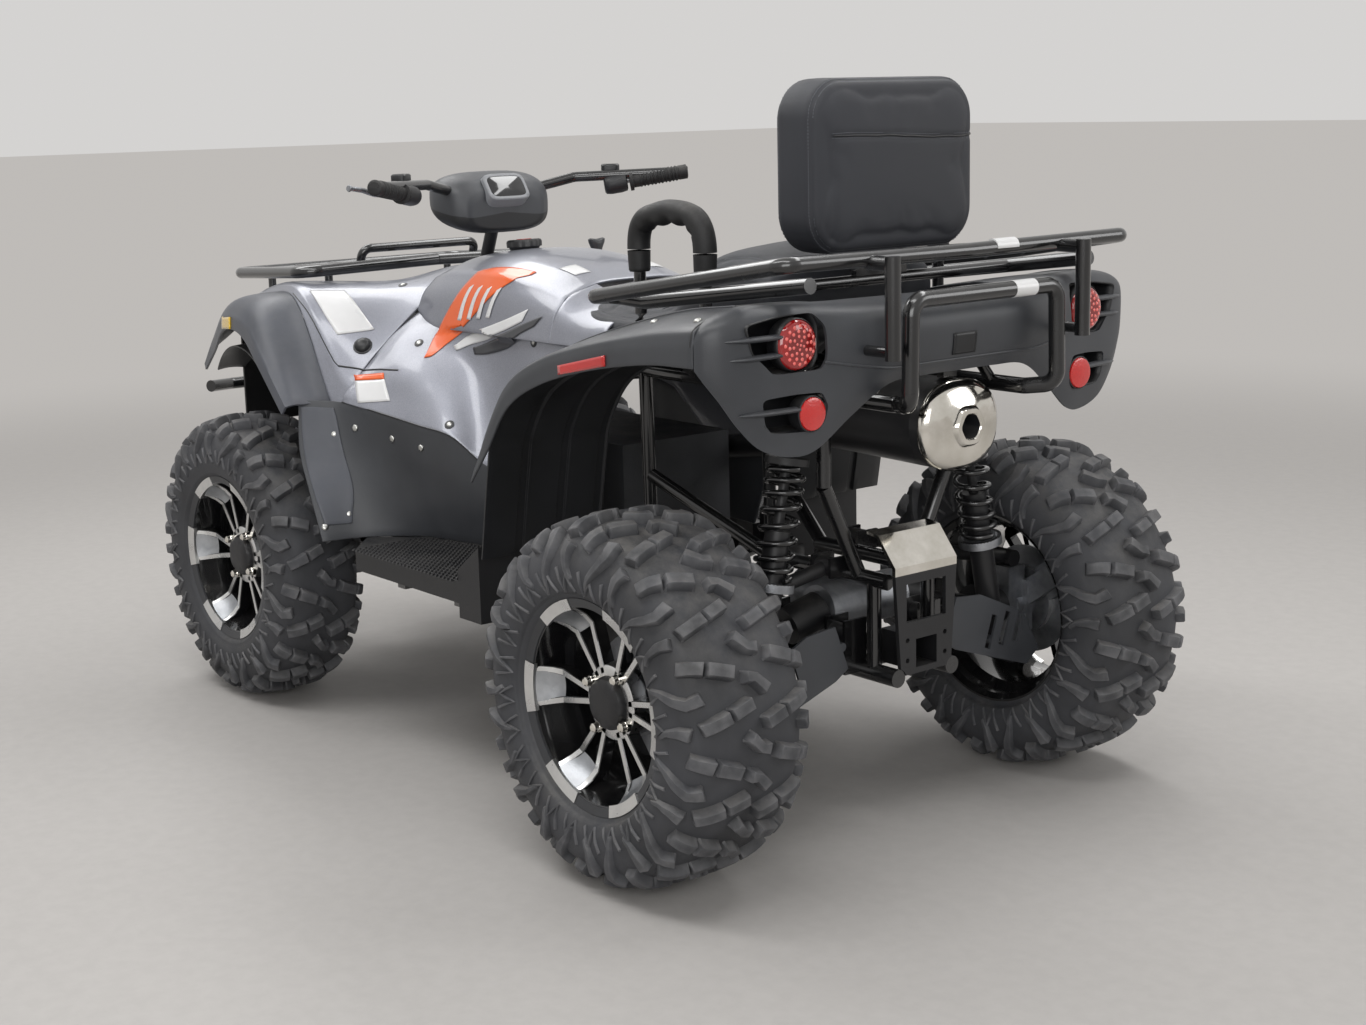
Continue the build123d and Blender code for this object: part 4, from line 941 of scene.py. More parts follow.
def outwards(grid, faces, out):
    """The faces, turned over when the grid's mean normal looks away from the out direction."""
    p = np.asarray(grid).reshape(-1, 3)
    a, b, c = p[faces[:, 0]], p[faces[:, 1]], p[faces[:, 2]]
    mean = np.cross(b - a, c - a).sum(0)
    return faces if mean @ np.asarray(out, float) > 0 else faces[:, ::-1]


def facing(grid, out, finish=0, around=False):
    """A grid as a part whose faces look out; around closes its rows on themselves."""
    return part(grid, outwards(grid, quads(*grid.shape[:2], close_cols=around), out), finish)


def sheet_part(net, steps=(6, 6), sharp_v=(), out=(0, 0.4, 1)):
    """A panel's outer face through a net of points in millimetres."""
    return facing(surface(np.asarray(net, float) * MM, *steps, sharp_v), out)


def soften(obj, width):
    """Round the cut edges: those that turn by more than 50 degrees."""
    add_modifier(obj, "BEVEL", width=width, segments=2, limit_method="ANGLE", angle_limit=radians(50))


def panel(name, parts, finish, replaces=(), smooth=50, thickness=0.005, bevel=0.0012):
    """A moulded sheet: its outer face, its thickness inwards and its softened edges."""
    obj = make_piece(name, parts, [finish], replaces=replaces, smooth=smooth)
    add_modifier(obj, "SOLIDIFY", thickness=thickness, offset=-1.0, use_even_offset=True)
    soften(obj, bevel)
    return obj


def pair(parts):
    """The parts and their mirror image on the machine's right."""
    return parts + flipped(parts)


def stations(xs, rows):
    """Sections of (y, z) at each x as a net of points."""
    return [[(x, y, z) for y, z in row] for x, row in zip(xs, rows)]


def whole_rows(rows):
    """Sections given from the middle out, with their mirror image put before them."""
    return [[(-y, z) for y, z in row[:0:-1]] + list(row) for row in rows]


def screw_parts(places, axes, radius, height):
    """Button heads: a low dome turned about its own axis at each place."""
    ring = np.array([(0.0, 1.0), (0.45, 0.97), (0.8, 0.72), (1.0, 0.40), (1.0, 0.0)])
    made = []
    a = np.linspace(0, 2 * pi, 14, endpoint=False)[:, None]
    for place, axis in zip(places, axes):
        n = unit(np.asarray(axis, float))
        s = unit(np.cross(n, (0.3, 0.2, 1.0)))
        t = np.cross(n, s)
        h, r = ring[None, :, 0] * height, ring[None, :, 1] * radius
        grid = (np.asarray(place) + h[..., None] * n
                + (r * np.cos(a))[..., None] * s + (r * np.sin(a))[..., None] * t)
        made.append(part(grid, quads(14, 5, close_rows=True)))
    return made


print("panel helpers ready")

# %% [markdown]
# ## Front fairing
#
# The silver fairing spans both front wheels in one piece and falls steeply behind
# them. Its sections are drawn from the middle out, with a sharp line at each shoulder.

# %% Front fairing
FAIRING_X = [1020, 900, 750, 630, 540, 455, 360, 326]
FAIRING_ROWS = [
    [(0, 800), (90, 806), (190, 812), (300, 800), (330, 775), (345, 748)],
    [(0, 872), (100, 872), (205, 876), (300, 862), (330, 834), (345, 800)],
    [(0, 892), (110, 890), (215, 900), (318, 902), (342, 892), (352, 872)],
    [(0, 905), (120, 902), (225, 915), (325, 922), (350, 916), (360, 903)],
    [(0, 925), (120, 915), (230, 918), (330, 914), (360, 906), (374, 890)],
    [(0, 945), (120, 925), (225, 905), (335, 872), (370, 850), (390, 820)],
    [(0, 952), (120, 928), (205, 882), (322, 800), (376, 742), (402, 690)],
    [(0, 952), (120, 926), (200, 872), (310, 782), (368, 722), (396, 676)]]
fairing_net = stations(FAIRING_X, whole_rows(FAIRING_ROWS))
fairing = panel("front_fairing_skin", [sheet_part(fairing_net, (8, 6), sharp_v=(1, 9))], "silver_paint",
                ["front_fairing"])
print("fairing", len(fairing.data.polygons), "faces")

# %% [markdown]
# ## Front flares
#
# The dark flares start at the fairing's edge and roll over to a lip round each wheel.
# Their sections fan out about the axle, so they are given by radii.

# %% Front flares
FRONT_AXLE_X, AXLE_Z = 690, 317
FLARE_SEAM = [(1020, 345, 748), (900, 345, 800), (750, 352, 872), (630, 360, 903), (540, 374, 890),
              (455, 390, 820), (360, 402, 690)]
# crest radius and y, outer radius, lip radius and lip y, about the front axle
FLARE_ROWS = [
    (502, 372, 492, 484, 384), (516, 392, 496, 478, 408), (560, 420, 528, 500, 452), (582, 432, 540, 512, 476),
    (584, 440, 540, 510, 490), (548, 456, 520, 494, 504), (500, 462, 498, 476, 510)]


def flare_net():
    """Each section fans out from the seam round the axle: seam, crest, shoulder, lip."""
    net = []
    for (x, y, z), (crest_r, crest_y, out_r, lip_r, lip_y) in zip(FLARE_SEAM, FLARE_ROWS):
        r, a = hypot(x - FRONT_AXLE_X, z - AXLE_Z), atan2(z - AXLE_Z, x - FRONT_AXLE_X)
        line = [(r, y + 0.3), ((r + crest_r) / 2 + 3, (y + crest_y) / 2), (crest_r, crest_y),
                ((crest_r + out_r) / 2 + 4, (crest_y + lip_y) / 2 + 2), (out_r, lip_y - 2), (lip_r, lip_y)]
        net.append([(FRONT_AXLE_X + q * cos(a), w, AXLE_Z + q * sin(a)) for q, w in line])
    return net


flares = panel("front_flare_skins", pair([sheet_part(flare_net(), (8, 6), sharp_v=(4,), out=(0, 1, 1))]),
               "flare_plastic", ["front_flares"], 55, bevel=0.0016)
print("flares", len(flares.data.polygons), "faces")

# %% [markdown]
# ## Footwells and side panels
#
# The seam between silver and dark runs back along a ridge, then drops behind it. Both
# sheets are lofted from that one line.

# %% Footwells and side panels
SEAM = [(322, 396, 692), (220, 366, 676), (110, 344, 660), (18, 324, 645), (-40, 290, 594), (-100, 280, 586),
        (-290, 268, 590)]
FOOTWELL_NET = [
    [(262, 492, 418.3), (236, 404, 418.3), (160, 318, 418.3), (80, 294, 418.3), (10, 278, 418.3),
     (-50, 268, 418.3), (-100, 265, 418.3), (-235, 258, 418.3)],
    [(312, 490, 520), (262, 400, 520), (180, 340, 520), (90, 316, 520), (8, 298, 516), (-52, 278, 500),
     (-100, 272, 498), (-262, 262, 500)],
    [(354, 484, 600), (300, 402, 600), (206, 356, 596), (102, 334, 588), (12, 312, 576), (-46, 284, 548),
     (-100, 277, 544), (-280, 265, 545)],
    [(372, 470, 700)] + SEAM]
SIDE_NET = [
    SEAM,
    [(324, 384, 712), (232, 350, 704), (130, 324, 696), (46, 300, 684), (-14, 262, 650), (-90, 250, 646),
     (-300, 250, 650)],
    [(324, 330, 762), (250, 318, 756), (170, 294, 752), (100, 262, 744), (30, 230, 730), (-60, 222, 726),
     (-312, 236, 728)],
    [(325, 268, 818), (275, 266, 812), (222, 250, 806), (160, 230, 802), (90, 212, 798), (0, 206, 798),
     (-322, 222, 800)],
    [(325, 192, 868), (285, 200, 858), (238, 203, 854), (180, 203, 850), (100, 203, 848), (0, 203, 846),
     (-322, 204, 846)]]
footwells = panel("footwell_sheets", pair([sheet_part(FOOTWELL_NET, out=(-0.6, 1, 0))]), "dark_plastic",
                  ["footwells"], 55)
side_panels = panel("side_panel_skins", pair([sheet_part(SIDE_NET, out=(0, 1, 0.3))]), "silver_paint",
                    ["side_panels"], 55)
print("the shared seam has", len(SEAM), "points")

# %% [markdown]
# ## Tank cover
#
# The cover arches over the tank and ends in two narrow tails beside the seat's nose.

# %% Tank cover
TANK_X = [325.7, 240, 80, -80, -186]
TANK_ROWS = [
    [(0, 958), (90, 954), (150, 934), (182, 905), (200, 868)],
    [(0, 984), (90, 978), (160, 950), (196, 905), (216, 842)],
    [(0, 996), (100, 988), (170, 956), (200, 906), (216, 838)],
    [(0, 978), (100, 972), (170, 942), (200, 900), (218, 838)],
    [(0, 950), (100, 946), (176, 922), (204, 888), (220, 838)]]
tank_net = stations(TANK_X, whole_rows(TANK_ROWS))
tank = panel("tank_skin", [sheet_part(tank_net, (8, 6), sharp_v=(2, 6))], "silver_paint",
             ["tank_cover"])
TAIL_X = [-186.5, -240, -300, -350]
TAIL_ROWS = [
    [(100, 945), (160, 929), (190, 906), (207, 880), (220, 838)],
    [(104, 930), (158, 912), (188, 893), (206, 870), (218, 838)],
    [(128, 908), (168, 896), (192, 882), (207, 862), (216, 838)],
    [(148, 896), (180, 888), (198, 876), (209, 858), (214, 838)]]
tail_part = sheet_part(stations(TAIL_X, TAIL_ROWS), (6, 5), out=(0, 1, 1))
panel("tank_tail_skins", pair([tail_part]), "silver_paint", thickness=0.004)
print("tank cover", len(tank.data.polygons), "faces")

# %% [markdown]
# ## Front arch liners: painted shade under the flares
#
# A thin black arch under each flare is bent about the axle, out to the flare's lip. It stands where the
# flare's real underside is, and its black is painted shade, the shadow under the flare.

# %% Front arch liners, painted shade


def front_shade_liner_parts():
    """Painted shade under the flare: radius 466 mm about the front axle and 4 mm more in the middle, from y
    300 mm to the lip.
    """
    a = np.radians(np.linspace(56, 134, 40))[:, None]
    y = np.linspace(0, 1, 8)[None, :]
    out = np.interp(np.degrees(a), [56, 80, 110, 134], [370, 420, 476, 440])
    r = 466 + 4 * np.sin(y * pi) + 0 * a
    grid = np.stack([FRONT_AXLE_X + r * np.cos(a), 300 + (out - 300) * y, AXLE_Z + r * np.sin(a)], -1) * MM
    return [facing(grid, (0, 0, 1))]


# The liners' black is painted shade: they stand for the shadow under each front flare.
panel("front_arch_shade_liners", pair(front_shade_liner_parts()), "liner_black", thickness=0.003,
      bevel=0.0008)
print("front arch liners made")

# %% [markdown]
# ## Rear fenders
#
# The fender rolls from the seat's side over a crease to a vertical lip round the wheel.
# The crease is one column of the net, which stays sharp.

# %% Rear fenders
FENDER_X = [-330, -392, -460, -560, -700, -860, -980]
FENDER_ROWS = [
    [(214, 838), (300, 806), (400, 740), (470, 676), (492, 650), (505, 622)],
    [(214, 858), (300, 838), (416, 800), (486, 752), (503, 724), (505, 690)],
    [(214, 872), (300, 862), (418, 842), (490, 822), (504, 806), (505, 772)],
    [(214, 900), (300, 898), (420, 886), (491, 870), (504, 856), (505, 822)],
    [(214, 930), (300, 930), (420, 926), (491, 907), (504, 892), (505, 858)],
    [(214, 960), (300, 962), (420, 962), (489, 938), (503, 918), (505, 882)],
    [(214, 966), (300, 972), (410, 976), (488, 952), (503, 930), (505, 886)]]
fender_part = sheet_part(stations(FENDER_X, FENDER_ROWS), (8, 6), sharp_v=(2,), out=(0, 1, 1))
fenders = panel("rear_fender_skins", pair([fender_part]), "dark_plastic", ["rear_fenders"], 40,
                bevel=0.002)
print("fenders", len(fenders.data.polygons), "faces")

# %% [markdown]
# ## Rear arch liners
#
# The liner is one outline seen from the side, carried across the fender's width, with
# three straps that stand towards the wheel.

# %% Rear arch liners


def liner_parts():
    """The outline carried across y, moved along its normal by 5 mm in three straps."""
    line = spline(8, 6) @ np.array([(-352, 481), (-382, 640), (-402, 712), (-462, 788), (-560, 836),
                                    (-700, 868), (-860, 890), (-962, 898)], float)
    tangent = unit(np.gradient(line, axis=0))
    normal = np.stack([-tangent[:, 1], tangent[:, 0]], -1)
    y = np.array([499.7, 480, 440, 428, 426, 410, 408, 396, 352, 340, 338, 322, 320, 308, 268, 256, 254,
                  238, 235])
    deep = np.isin(y, (426, 410, 338, 322, 254, 238)) * 5.0
    xz = line[:, None, :] - normal[:, None, :] * deep[None, :, None]
    grid = np.stack([xz[..., 0], np.broadcast_to(y, xz.shape[:2]), xz[..., 1]], -1) * MM
    return [facing(grid, (-0.7, 0, -0.7))]


liners = panel("rear_arch_liners", pair(liner_parts()), "liner_black", ["rear_liners"], 30,
               0.004, 0.0008)
print("liners", len(liners.data.polygons), "faces")

# %% [markdown]
# ## Rear panel
#
# The rear panel starts at the fenders' rear edge, rolls over and hangs down with a lobe
# under each pair of lamps. It is one surface through stations from the middle out.

# %% Rear panel
# y, rearmost x, then z of the upper and the lower edge
PANEL_STATIONS = [
    (0, -1086, 968, 842), (80, -1086, 968, 842), (160, -1082, 969, 836), (232, -1068, 970, 792),
    (300, -1053, 973, 742), (350, -1042, 975, 735), (405, -1033, 976, 752), (445, -1024, 970, 790),
    (474, -1013, 960, 832), (493, -998, 946, 862), (503, -982, 928, 884)]


def panel_net():
    """Each station runs from the upper edge over a shoulder down the face to a tucked lower edge."""
    net = []
    for y, x, high, low in PANEL_STATIONS:
        drop, deep = high - low, -978 - x
        net.append([
            (-978, y, high), (-978 - 0.55 * deep, y, high - 2), (x + 0.12 * deep, y, high - 0.1 * drop),
            (x, y, high - 0.28 * drop), (x, y, high - 0.55 * drop), (x + 0.05 * deep, y, high - 0.8 * drop),
            (x + 0.2 * deep, y, low)])
    return [[(x, -y, z) for x, y, z in row] for row in net[:0:-1]] + net


rear_part = sheet_part(panel_net(), (7, 5), out=(-1, 0, 0))
rear_panel = make_piece("rear_panel", [rear_part], ["dark_plastic"],
                        replaces=["rear_fascia"])
add_modifier(rear_panel, "SOLIDIFY", thickness=0.005, offset=-1.0, use_even_offset=True)
print("rear panel", len(rear_panel.data.polygons), "faces before it is cut")

# %% [markdown]
# ## Lamp openings
#
# The lamps sit in openings with rounded corners. A grid can't hold a hole, so prisms
# are cut out of the finished sheet.

# %% Lamp openings


def prism_parts(outline, near, far):
    """A closed prism along X through an outline of (y, z)."""
    o = np.asarray(outline, float) * MM
    n = len(o)
    rings = np.stack([np.stack([np.full(n, x * MM), o[:, 0], o[:, 1]], -1) for x in (near, far)])
    mid = rings.mean(1, keepdims=True)
    grid = np.concatenate([np.repeat(mid[:1], n, 1), rings, np.repeat(mid[1:], n, 1)])
    return [part(grid, quads(4, n, close_cols=True))]


def rounded(outline, share=0.22, steps=4):
    """The outline with each corner cut by a quadratic arc that starts a share along its sides."""
    o = np.asarray(outline, float)
    before, after = np.roll(o, 1, 0), np.roll(o, -1, 0)
    a, b = o + (before - o) * share, o + (after - o) * share
    t = np.linspace(0, 1, steps)[None, :, None]
    arc = (1 - t) ** 2 * a[:, None] + 2 * t * (1 - t) * o[:, None] + t**2 * b[:, None]
    return arc.reshape(-1, 2)


# y and z in millimetres, of the upper and the lower opening
OPENINGS = [rounded(outline) for outline in (
    [(436, 950), (380, 958), (306, 962), (290, 940), (291, 890), (302, 872), (388, 870), (404, 886),
     (424, 905)],
    [(408, 832), (350, 836), (300, 836), (288, 812), (294, 786), (306, 774), (388, 776), (402, 792)])]
cutters = []
for outline in OPENINGS:
    cutters += pair(prism_parts(outline, -1200, -940))
cutter = make_piece("opening_cutter", cutters, ["black_satin"], merge=1e-6)
add_modifier(rear_panel, "BOOLEAN", object=cutter, operation="DIFFERENCE", solver="EXACT")
depsgraph = bpy.context.evaluated_depsgraph_get()
cut_mesh = bpy.data.meshes.new_from_object(rear_panel.evaluated_get(depsgraph))
rear_panel.modifiers.clear()
rear_panel.data = cut_mesh
bpy.data.objects.remove(cutter)
cut_mesh.set_sharp_from_angle(angle=radians(35))
soften(rear_panel, 0.0016)
print("rear panel", len(rear_panel.data.polygons), "faces")

# %% [markdown]
# ## Tubs and fins
#
# A black tub closes the view behind each opening, and blades reach over the lamps.

# %% Tubs and fins


def tub_parts():
    """Walls that run forward from each opening to a closed back, narrower with depth."""
    made = []
    for o in OPENINGS:
        middle = o.mean(0)
        rings = []
        for x, k in ((-1030, 1.04), (-1012, 1.0), (-990, 0.96), (-988, 0.9), (-988, 0.0)):
            ring = middle + (o - middle) * k
            rings.append(np.stack([np.full(len(o), float(x)), ring[:, 0], ring[:, 1]], -1))
        made.append(facing(np.stack(rings) * MM, (-1, 0, 0), around=True))
    return made


tubs = make_piece("lamp_tubs", pair(tub_parts()), ["liner_black"], merge=1e-6)
add_modifier(tubs, "SOLIDIFY", thickness=0.0025, offset=-1.0)


def fin_parts():
    """Blades across each opening: an almond section that grows from its outer tip to its root."""
    made = []
    panel_y = [row[0] for row in PANEL_STATIONS]
    panel_x = [row[1] for row in PANEL_STATIONS]
    t = np.linspace(0, 1, 16)[:, None]
    a = np.linspace(0, 2 * pi, 12, endpoint=False)[None, :]
    for y_tip, y_root, z_tip, z_root in ((472, 366, 927, 929), (466, 366, 897, 901), (448, 338, 810, 812)):
        y_line = y_tip + (y_root - y_tip) * t
        x_line = np.interp(y_line, panel_y, panel_x) + 2
        grow = np.minimum(1, t * 3.2) ** 0.6
        grid = np.stack([x_line + (11 * grow + 0.3) * np.cos(a), y_line + 0 * a,
                         z_tip + (z_root - z_tip) * t + (4.6 * grow + 0.2) * np.sin(a)], -1) * MM
        made.append(part(grid, quads(16, 12, close_cols=True)))
    return made


make_piece("lamp_fins", pair(fin_parts()), ["dark_plastic"], smooth=50)
print("fins: three on each side")

# %% [markdown]
# ## Tail lamps
#
# Each lamp is a black cup, a red lens with a darker middle, and rings of small bright
# domes. A reflector fills the lower opening.

# %% Tail lamps


def disc_on_x(profile, centre, steps=48, finish=0):
    """(depth, r) turned about an axis along X through centre: depth grows rearwards."""
    p = np.asarray(profile, float)
    a = np.linspace(0, 2 * pi, steps, endpoint=False)[:, None]
    grid = np.stack([centre[0] - p[None, :, 0] + 0 * a, centre[1] + p[None, :, 1] * np.cos(a),
                     centre[2] + p[None, :, 1] * np.sin(a)], -1)
    return part(grid, quads(steps, len(p), close_rows=True)[:, ::-1], finish)


LAMP_FINISHES = ["red_lens", "led_dot", "liner_black", "lamp_core", "red_reflector"]
LENS, DOT, CUP, CORE, REFLECTOR = range(len(LAMP_FINISHES))
# radius of the ring, number of dots, radius of a dot, depth of the lens there
DOT_RINGS = [(0.030, 16, 0.0032, 0.0188), (0.0225, 12, 0.0032, 0.0202), (0.0145, 8, 0.0030, 0.0202),
             (0.007, 4, 0.0026, 0.0202), (0.0, 1, 0.0026, 0.0202)]


def lamp_parts(x=-1.030, y=0.343, z=0.914):
    """Cup, lens and core about one axis, and the dots in rings, each ring turned a little further."""
    at = (x, y, z)
    parts = [
        disc_on_x([(-0.014, 0.041), (0.0, 0.0425), (0.010, 0.0425), (0.012, 0.0405)], at, finish=CUP),
        disc_on_x([(0.004, 0.0405), (0.012, 0.040), (0.017, 0.036), (0.019, 0.030), (0.020, 0.026)], at,
                  finish=LENS),
        disc_on_x([(0.020, 0.026), (0.0205, 0.018), (0.021, 0.0)], at, finish=CORE)]
    for r, count, dot, deep in DOT_RINGS:
        dome = [(0.0, dot), (0.0010, dot * 0.8), (0.0015, dot * 0.4), (0.0016, 0.0)]
        for k in range(count):
            a = 2 * pi * k / count + r * 40
            parts.append(disc_on_x(dome, (x - deep, y + r * cos(a), z + r * sin(a)), 10, DOT))
    return parts


def reflector_parts(at=(-1.044, 0.320, 0.803)):
    """A black cup and the domed reflector in it."""
    return [disc_on_x([(-0.02, 0.028), (0.0, 0.0295), (0.006, 0.0295), (0.007, 0.0275)], at, finish=CUP),
            disc_on_x([(0.005, 0.0275), (0.009, 0.026), (0.0105, 0.020), (0.011, 0.0)], at, finish=REFLECTOR)]


make_piece("tail_lamp_lenses", pair(lamp_parts() + reflector_parts()), LAMP_FINISHES,
           replaces=["tail_lamps"], smooth=50)
print("dots in a lamp:", sum(row[1] for row in DOT_RINGS))

# %% [markdown]
# ## Seat and backrest
#
# Foam under a stretched cover swells between its seams. Each cushion starts as a lofted
# form a little too small, is remeshed to small even squares and blown up as cloth for
# twenty frames, with every point's travel capped.

# %% Lofts and padding
CLOTH_FRAMES = 20


def loft_parts(rings, finish=0):
    """Closed rings skinned one to the next, both ends shut by a ring of no size at their middles."""
    rings = [np.asarray(r, float) for r in rings]
    first, last = (np.broadcast_to(ring.mean(0), ring.shape) for ring in (rings[0], rings[-1]))
    grid = np.stack([first, *rings, last])
    return [part(grid, quads(*grid.shape[:2], close_cols=True), finish)]


def vectors_of(mesh, kind="co"):
    """Each vertex's place, or its normal, as the rows of an array."""
    flat = np.empty(len(mesh.vertices) * 3)
    mesh.vertices.foreach_get(kind, flat)
    return flat.reshape(-1, 3)


def baked(obj):
    """The object's mesh with its modifiers worked in, and the modifiers gone."""
    mesh = bpy.data.meshes.new_from_object(obj.evaluated_get(bpy.context.evaluated_depsgraph_get()))
    obj.modifiers.clear()
    obj.data = mesh
    return mesh


def stuffed(obj, voxel, cap, freedom, pressure=4.0):
    """Blow the form up as cloth under pressure, smooth how far each point moved outwards, and
    cap it softly: limit tanh(length / limit), where limit is cap times freedom(points)."""
    add_modifier(obj, "REMESH", mode="VOXEL", voxel_size=voxel, use_smooth_shade=True)
    mesh = baked(obj)
    before = vectors_of(mesh)
    cloth = add_modifier(obj, "CLOTH").settings
    cloth.use_pressure = True
    cloth.uniform_pressure_force = pressure
    cloth.effector_weights.gravity = 0
    cloth.quality = 4
    for number in range(1, CLOTH_FRAMES + 1):
        bpy.context.scene.frame_set(number)
    mesh = baked(obj)
    bpy.context.scene.frame_set(1)
    outward = vectors_of(mesh, "normal")
    swell = ((vectors_of(mesh) - before) * outward).sum(1)
    ends = np.empty(len(mesh.edges) * 2, int)
    mesh.edges.foreach_get("vertices", ends)
    ends = np.concatenate([ends.reshape(-1, 2), ends.reshape(-1, 2)[:, ::-1]])
    neighbours = np.maximum(np.bincount(ends[:, 0], minlength=len(before)), 1)
    for _ in range(10):
        swell = np.bincount(ends[:, 0], swell[ends[:, 1]], len(before)) / neighbours
    move = outward * np.maximum(swell, 0)[:, None]
    length = np.linalg.norm(move, axis=1, keepdims=True)
    limit = cap * freedom(before)[:, None]
    after = before + move * (limit * np.tanh(length / np.maximum(limit, 1e-6)) / np.maximum(length, 1e-9))
    mesh.vertices.foreach_set("co", after.ravel())
    mesh.update()
    return after


print("the cloth runs")

# %% [markdown]
# ## Seams and stitches
#
# Remeshing loses what is narrower than its squares, so seams are pressed in afterwards,
# and a row of short thread bars lies on each side of them.

# %% Seams and stitches


def pressed(obj, lines, depth, width):
    """Seams: points move in along their normals by depth times a bell of their distance to a line."""
    mesh = obj.data
    points = vectors_of(mesh)
    tree = KDTree(sum(len(line) for line in lines))
    for index, place in enumerate(np.concatenate(lines)):
        tree.insert(place, index)
    tree.balance()
    far = np.array([tree.find(p)[2] for p in points])
    points -= vectors_of(mesh, "normal") * (depth * np.exp(-(far / width) ** 2))[:, None]
    mesh.vertices.foreach_set("co", points.ravel())
    mesh.update()


def dense(line, gap=0.002):
    """The line sampled at even gaps."""
    line = np.asarray(line, float)
    return sampled(line, max(int(run_of(line)[-1] / gap), 2))


def laid_on(obj, line, lift):
    """The line moved onto the object's nearest surface, lifted off along its normal."""
    tree = BVHTree.FromObject(obj, bpy.context.evaluated_depsgraph_get())
    hits = [tree.find_nearest(Vector(p)) for p in line]
    return np.array([h[0] + h[1] * lift for h in hits]), np.array([h[1] for h in hits])


def stitch_parts(obj, line, side_shift=0.004, pitch=0.0055, length=0.0038):
    """Short thread bars beside a seam: each a small five-sided spindle lying on the cover."""
    on, normal = laid_on(obj, dense(line, pitch), 0.0004)
    way = np.gradient(on, axis=0)
    way /= np.maximum(np.linalg.norm(way, axis=1, keepdims=True), 1e-9)
    beside = np.cross(way, normal)
    on = on + beside * side_shift
    t = np.array([-0.5, -0.3, 0.3, 0.5]) * length
    r = np.array([0.1, 0.55, 0.55, 0.1]) * 0.001
    a = np.linspace(0, 2 * pi, 5, endpoint=False)
    grid = (on[:, None, None] + way[:, None, None] * t[None, :, None, None]
            + (beside[:, None, None] * np.cos(a)[None, None, :, None]
               + normal[:, None, None] * np.sin(a)[None, None, :, None]) * r[None, :, None, None])
    return [part(one, quads(4, 5, close_cols=True)) for one in grid]


print("a metre of seam has", len(dense([(0, 0, 0), (1, 0, 0)], 0.0055)), "stitches a side")

# %% [markdown]
# ## Seat
#
# The seat is lofted from seven closed sections, low under the rider and high under the
# passenger. It stays flat underneath, where it rests on its pan, and swells above.

# %% Seat
# x, half width and z of foot, side and edge, then the crown's z, in mm
SEAT_ROWS = [
    (-196, 120, 846, 150, 880, 110, 934, 944), (-270, 150, 842, 188, 872, 150, 910, 920),
    (-400, 160, 816, 190, 872, 150, 900, 908), (-520, 165, 816, 196, 890, 150, 930, 938),
    (-600, 170, 860, 204, 930, 150, 1000, 1008), (-720, 175, 880, 206, 970, 150, 1028, 1040),
    (-806, 170, 900, 200, 970, 150, 1010, 1020)]


def seat_ring(x, foot, zf, side_w, zs, edge, ze, crown):
    """One section: up the left side, over the crown, down the right side and back below."""
    half = [(foot, zf), (side_w - 4, (zf + zs) / 2), (side_w - 2, zs),
            ((side_w + edge) / 2 + 10, (zs + ze) / 2 + 4), (edge, ze), (edge * 0.55, crown - 3), (0, crown)]
    ring = half + [(-y, z) for y, z in half[-2::-1]] + [(0, zf)]
    return [(x, y, z) for y, z in ring]


seat_net = np.array([seat_ring(*row) for row in SEAT_ROWS], float) * MM
across_seat = spline(seat_net.shape[1], 5, sharp=(0, 12), closed=True)
seat_rings = np.einsum("ai,ijk,bj->abk", spline(len(SEAT_ROWS), 6), seat_net, across_seat)
caps = []
for ring, shift in ((seat_rings[0], 0.010), (seat_rings[-1], -0.008)):
    middle = ring.mean(0)
    caps.append(middle + (ring - middle) * 0.88 + (shift, 0, 0))
seat = make_piece("seat_cushion", loft_parts([caps[0], *seat_rings, caps[1]]), ["seat_cover"],
                  replaces=["seat"], merge=1e-5, smooth=180)


def seat_freedom(points):
    """0 near the underside, where the foam rests on its pan, rising to 1 at the crown."""
    floor_z = np.interp(-points[:, 0], [0.196, 0.4, 0.52, 0.6, 0.806], [0.846, 0.816, 0.816, 0.86, 0.90])
    return np.clip((points[:, 2] - floor_z - 0.012) / 0.05, 0, 1)


stuffed(seat, 0.0075, 0.012, seat_freedom)
edge_points = np.array([(row[0], row[5], row[6]) for row in SEAT_ROWS]) * MM + (0, 0.012, -0.006)
edge_line = spline(len(SEAT_ROWS), 10) @ edge_points
step_y = np.linspace(-0.165, 0.165, 40)
step_line = np.stack([-0.560 - 0.03 * (step_y / 0.165) ** 2, step_y, 0.968 - 0.9 * step_y**2], -1)
front_line = np.stack([-0.300 - 0.02 * np.cos(step_y / 0.165 * pi / 2), step_y, 0.915 + 0 * step_y], -1)
seat_lines = (edge_line, edge_line * (1, -1, 1), step_line, front_line)
seat_seams = [laid_on(seat, dense(line), 0)[0] for line in seat_lines]
pressed(seat, seat_seams, 0.0035, 0.006)
print("seat", len(seat.data.polygons), "faces")

# %% [markdown]
# ## Backrest
#
# The backrest is a rounded slab with a seam round each face and a zip on the back.

# %% Backrest
BACK_X = (-0.815, -0.920)
BACK_HALF, BACK_LOW, BACK_HIGH, BACK_CORNER = 0.192, 1.034, 1.324, 0.066


def rounded_rectangle(inset, x, steps=14):
    """Four arcs joined into one ring in the plane of y and z."""
    half, r = BACK_HALF - inset, BACK_CORNER - inset * 0.6
    low, high = BACK_LOW + inset, BACK_HIGH - inset
    a = np.linspace(0, pi / 2, steps)
    corners = [(half - r, high - r, 0), (-half + r, high - r, pi / 2), (-half + r, low + r, pi),
               (half - r, low + r, 1.5 * pi)]
    ring = [np.stack([np.full(steps, x), cy + r * np.cos(a + s), cz + r * np.sin(a + s)], -1)
            for cy, cz, s in corners]
    return np.concatenate(ring)


